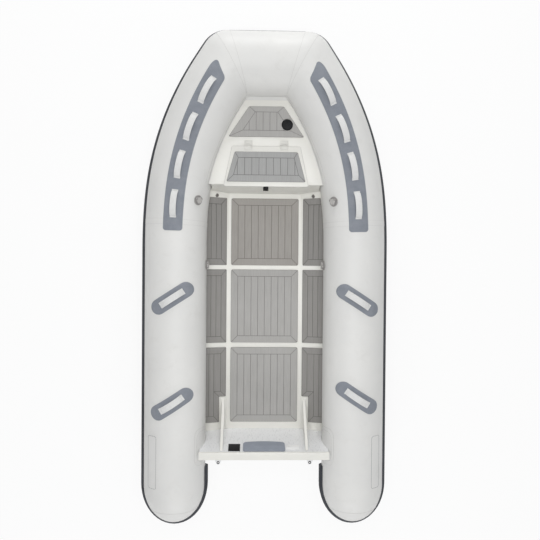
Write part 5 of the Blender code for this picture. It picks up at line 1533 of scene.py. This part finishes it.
def make_lashing_eyes():
    """A small eye on a round foot at each lower corner of the locker."""
    x, y = LASHING_PLACE
    z = deck_height(x, y) + 0.0012
    for side, sign in SIDES:
        foot = turned(side + "_eye_foot", FOOT_PROFILE, 36, (x * sign, y, z))
        name = side + "_lashing_eye"
        ring = ring_piece(name, 32, 0.0090, 0.0022, (x * sign, y, z + 0.0105), (CROWN, 0, 0))
        fit_out(join_pieces([ring, foot], name), "boat", "eye_plastic", (), 40, "black_plastic")


make_metalwork()
make_hinges()
make_port()
make_plates()
make_eye_bushings()
make_cap_rail()
make_lid_shadow_line_trim()
make_lashing_eyes()


# Floor, light and camera
WORLD_LEVEL = 0.51
FLOOR_GLOW = 0.85
CAMERA_PLACE, CAMERA_TURN = (-0.0911, 0.1274, 4.4984), (-0.0128, -0.0297, 0.0077)
CAMERA_LENS = 40.12
LAMPS = (
    ("overhead_soft_box", (0.0, 0.3, 5.4), (0, -0.1, 0), (3.2, 3.6), 106.0),
    ("bow_soft_box", (0.0, 5.6, 2.1), (0, 0, 0.3), (3.4, 1.6), 105.0),
    ("stern_soft_box", (0.0, -5.4, 2.6), (0, 0.3, 0.3), (3.4, 1.6), 62.0),
)


def make_stage():
    """A floor that catches soft shadows and looks white to the camera."""
    take()
    bpy.ops.mesh.primitive_plane_add(size=30.0, location=(0, 0, 0))
    floor = named("studio_floor")
    finish = Finish("studio_floor", (0.90, 0.90, 0.90), 0.9, 0.1)
    glow = finish.node("Emission", {"Color": (1, 1, 1)})
    path = finish.node("LightPath", {})
    seen = finish.sum("MAXIMUM", path.outputs["Is Camera Ray"], path.outputs["Is Glossy Ray"])
    share = finish.sum("MULTIPLY", seen, FLOOR_GLOW)
    inputs = {0: share, 1: finish.shader.outputs[0], 2: glow.outputs[0]}
    mix = finish.node("MixShader", inputs)
    feed(finish.tree, finish.tree.nodes["Material Output"].inputs["Surface"], mix.outputs[0])
    floor.data.materials.append(finish.material)


def make_world():
    """Even light from all round, and white where the camera sees past the floor."""
    world = bpy.data.worlds.new("studio")
    bpy.context.scene.world = world
    world.use_nodes = True
    tree = world.node_tree
    back = tree.nodes["Background"]
    feed(tree, back.inputs["Color"], (0.98, 0.99, 1.0))
    feed(tree, back.inputs["Strength"], WORLD_LEVEL)
    white = add_node(tree, "Background", {"Color": (1, 1, 1), "Strength": 1.0})
    path = add_node(tree, "LightPath", {})
    inputs = {0: path.outputs["Is Camera Ray"], 1: back.outputs[0], 2: white.outputs[0]}
    mix = add_node(tree, "MixShader", inputs)
    feed(tree, tree.nodes["World Output"].inputs["Surface"], mix.outputs[0])


def hang(name, data, place):
    holder = bpy.data.objects.new(name, data)
    bpy.context.scene.collection.objects.link(holder)
    holder.location = place
    return holder


def make_lamps():
    for name, place, aim, size, power in LAMPS:
        lamp = bpy.data.lights.new(name, "AREA")
        lamp.shape = "RECTANGLE"
        lamp.size, lamp.size_y = size
        lamp.energy = power
        holder = hang(name, lamp, place)
        way = Vector(aim) - Vector(place)
        holder.rotation_euler = way.to_track_quat("-Z", "Y").to_euler()


def make_camera():
    """The photo's camera, as fitted to its outline."""
    camera = bpy.data.cameras.new("photo_camera")
    camera.sensor_width = 36.0
    camera.lens = CAMERA_LENS
    camera.clip_end = 60.0
    holder = hang("photo_camera", camera, CAMERA_PLACE)
    holder.rotation_euler = CAMERA_TURN
    bpy.context.scene.camera = holder


make_stage()
make_world()
make_lamps()
make_camera()
bpy.context.scene.view_settings.view_transform = "Standard"

# Detailed paint on the CAD nodes that still show
for node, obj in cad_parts.items():
    if not obj.hide_render:
        name = obj.data.materials[0].name if obj.data.materials else "hull_paint"
        key = next((k for k in PAINT if name.startswith(k)), "hull_paint")
        obj.data.materials.clear()
        obj.data.materials.append(PAINT[key])
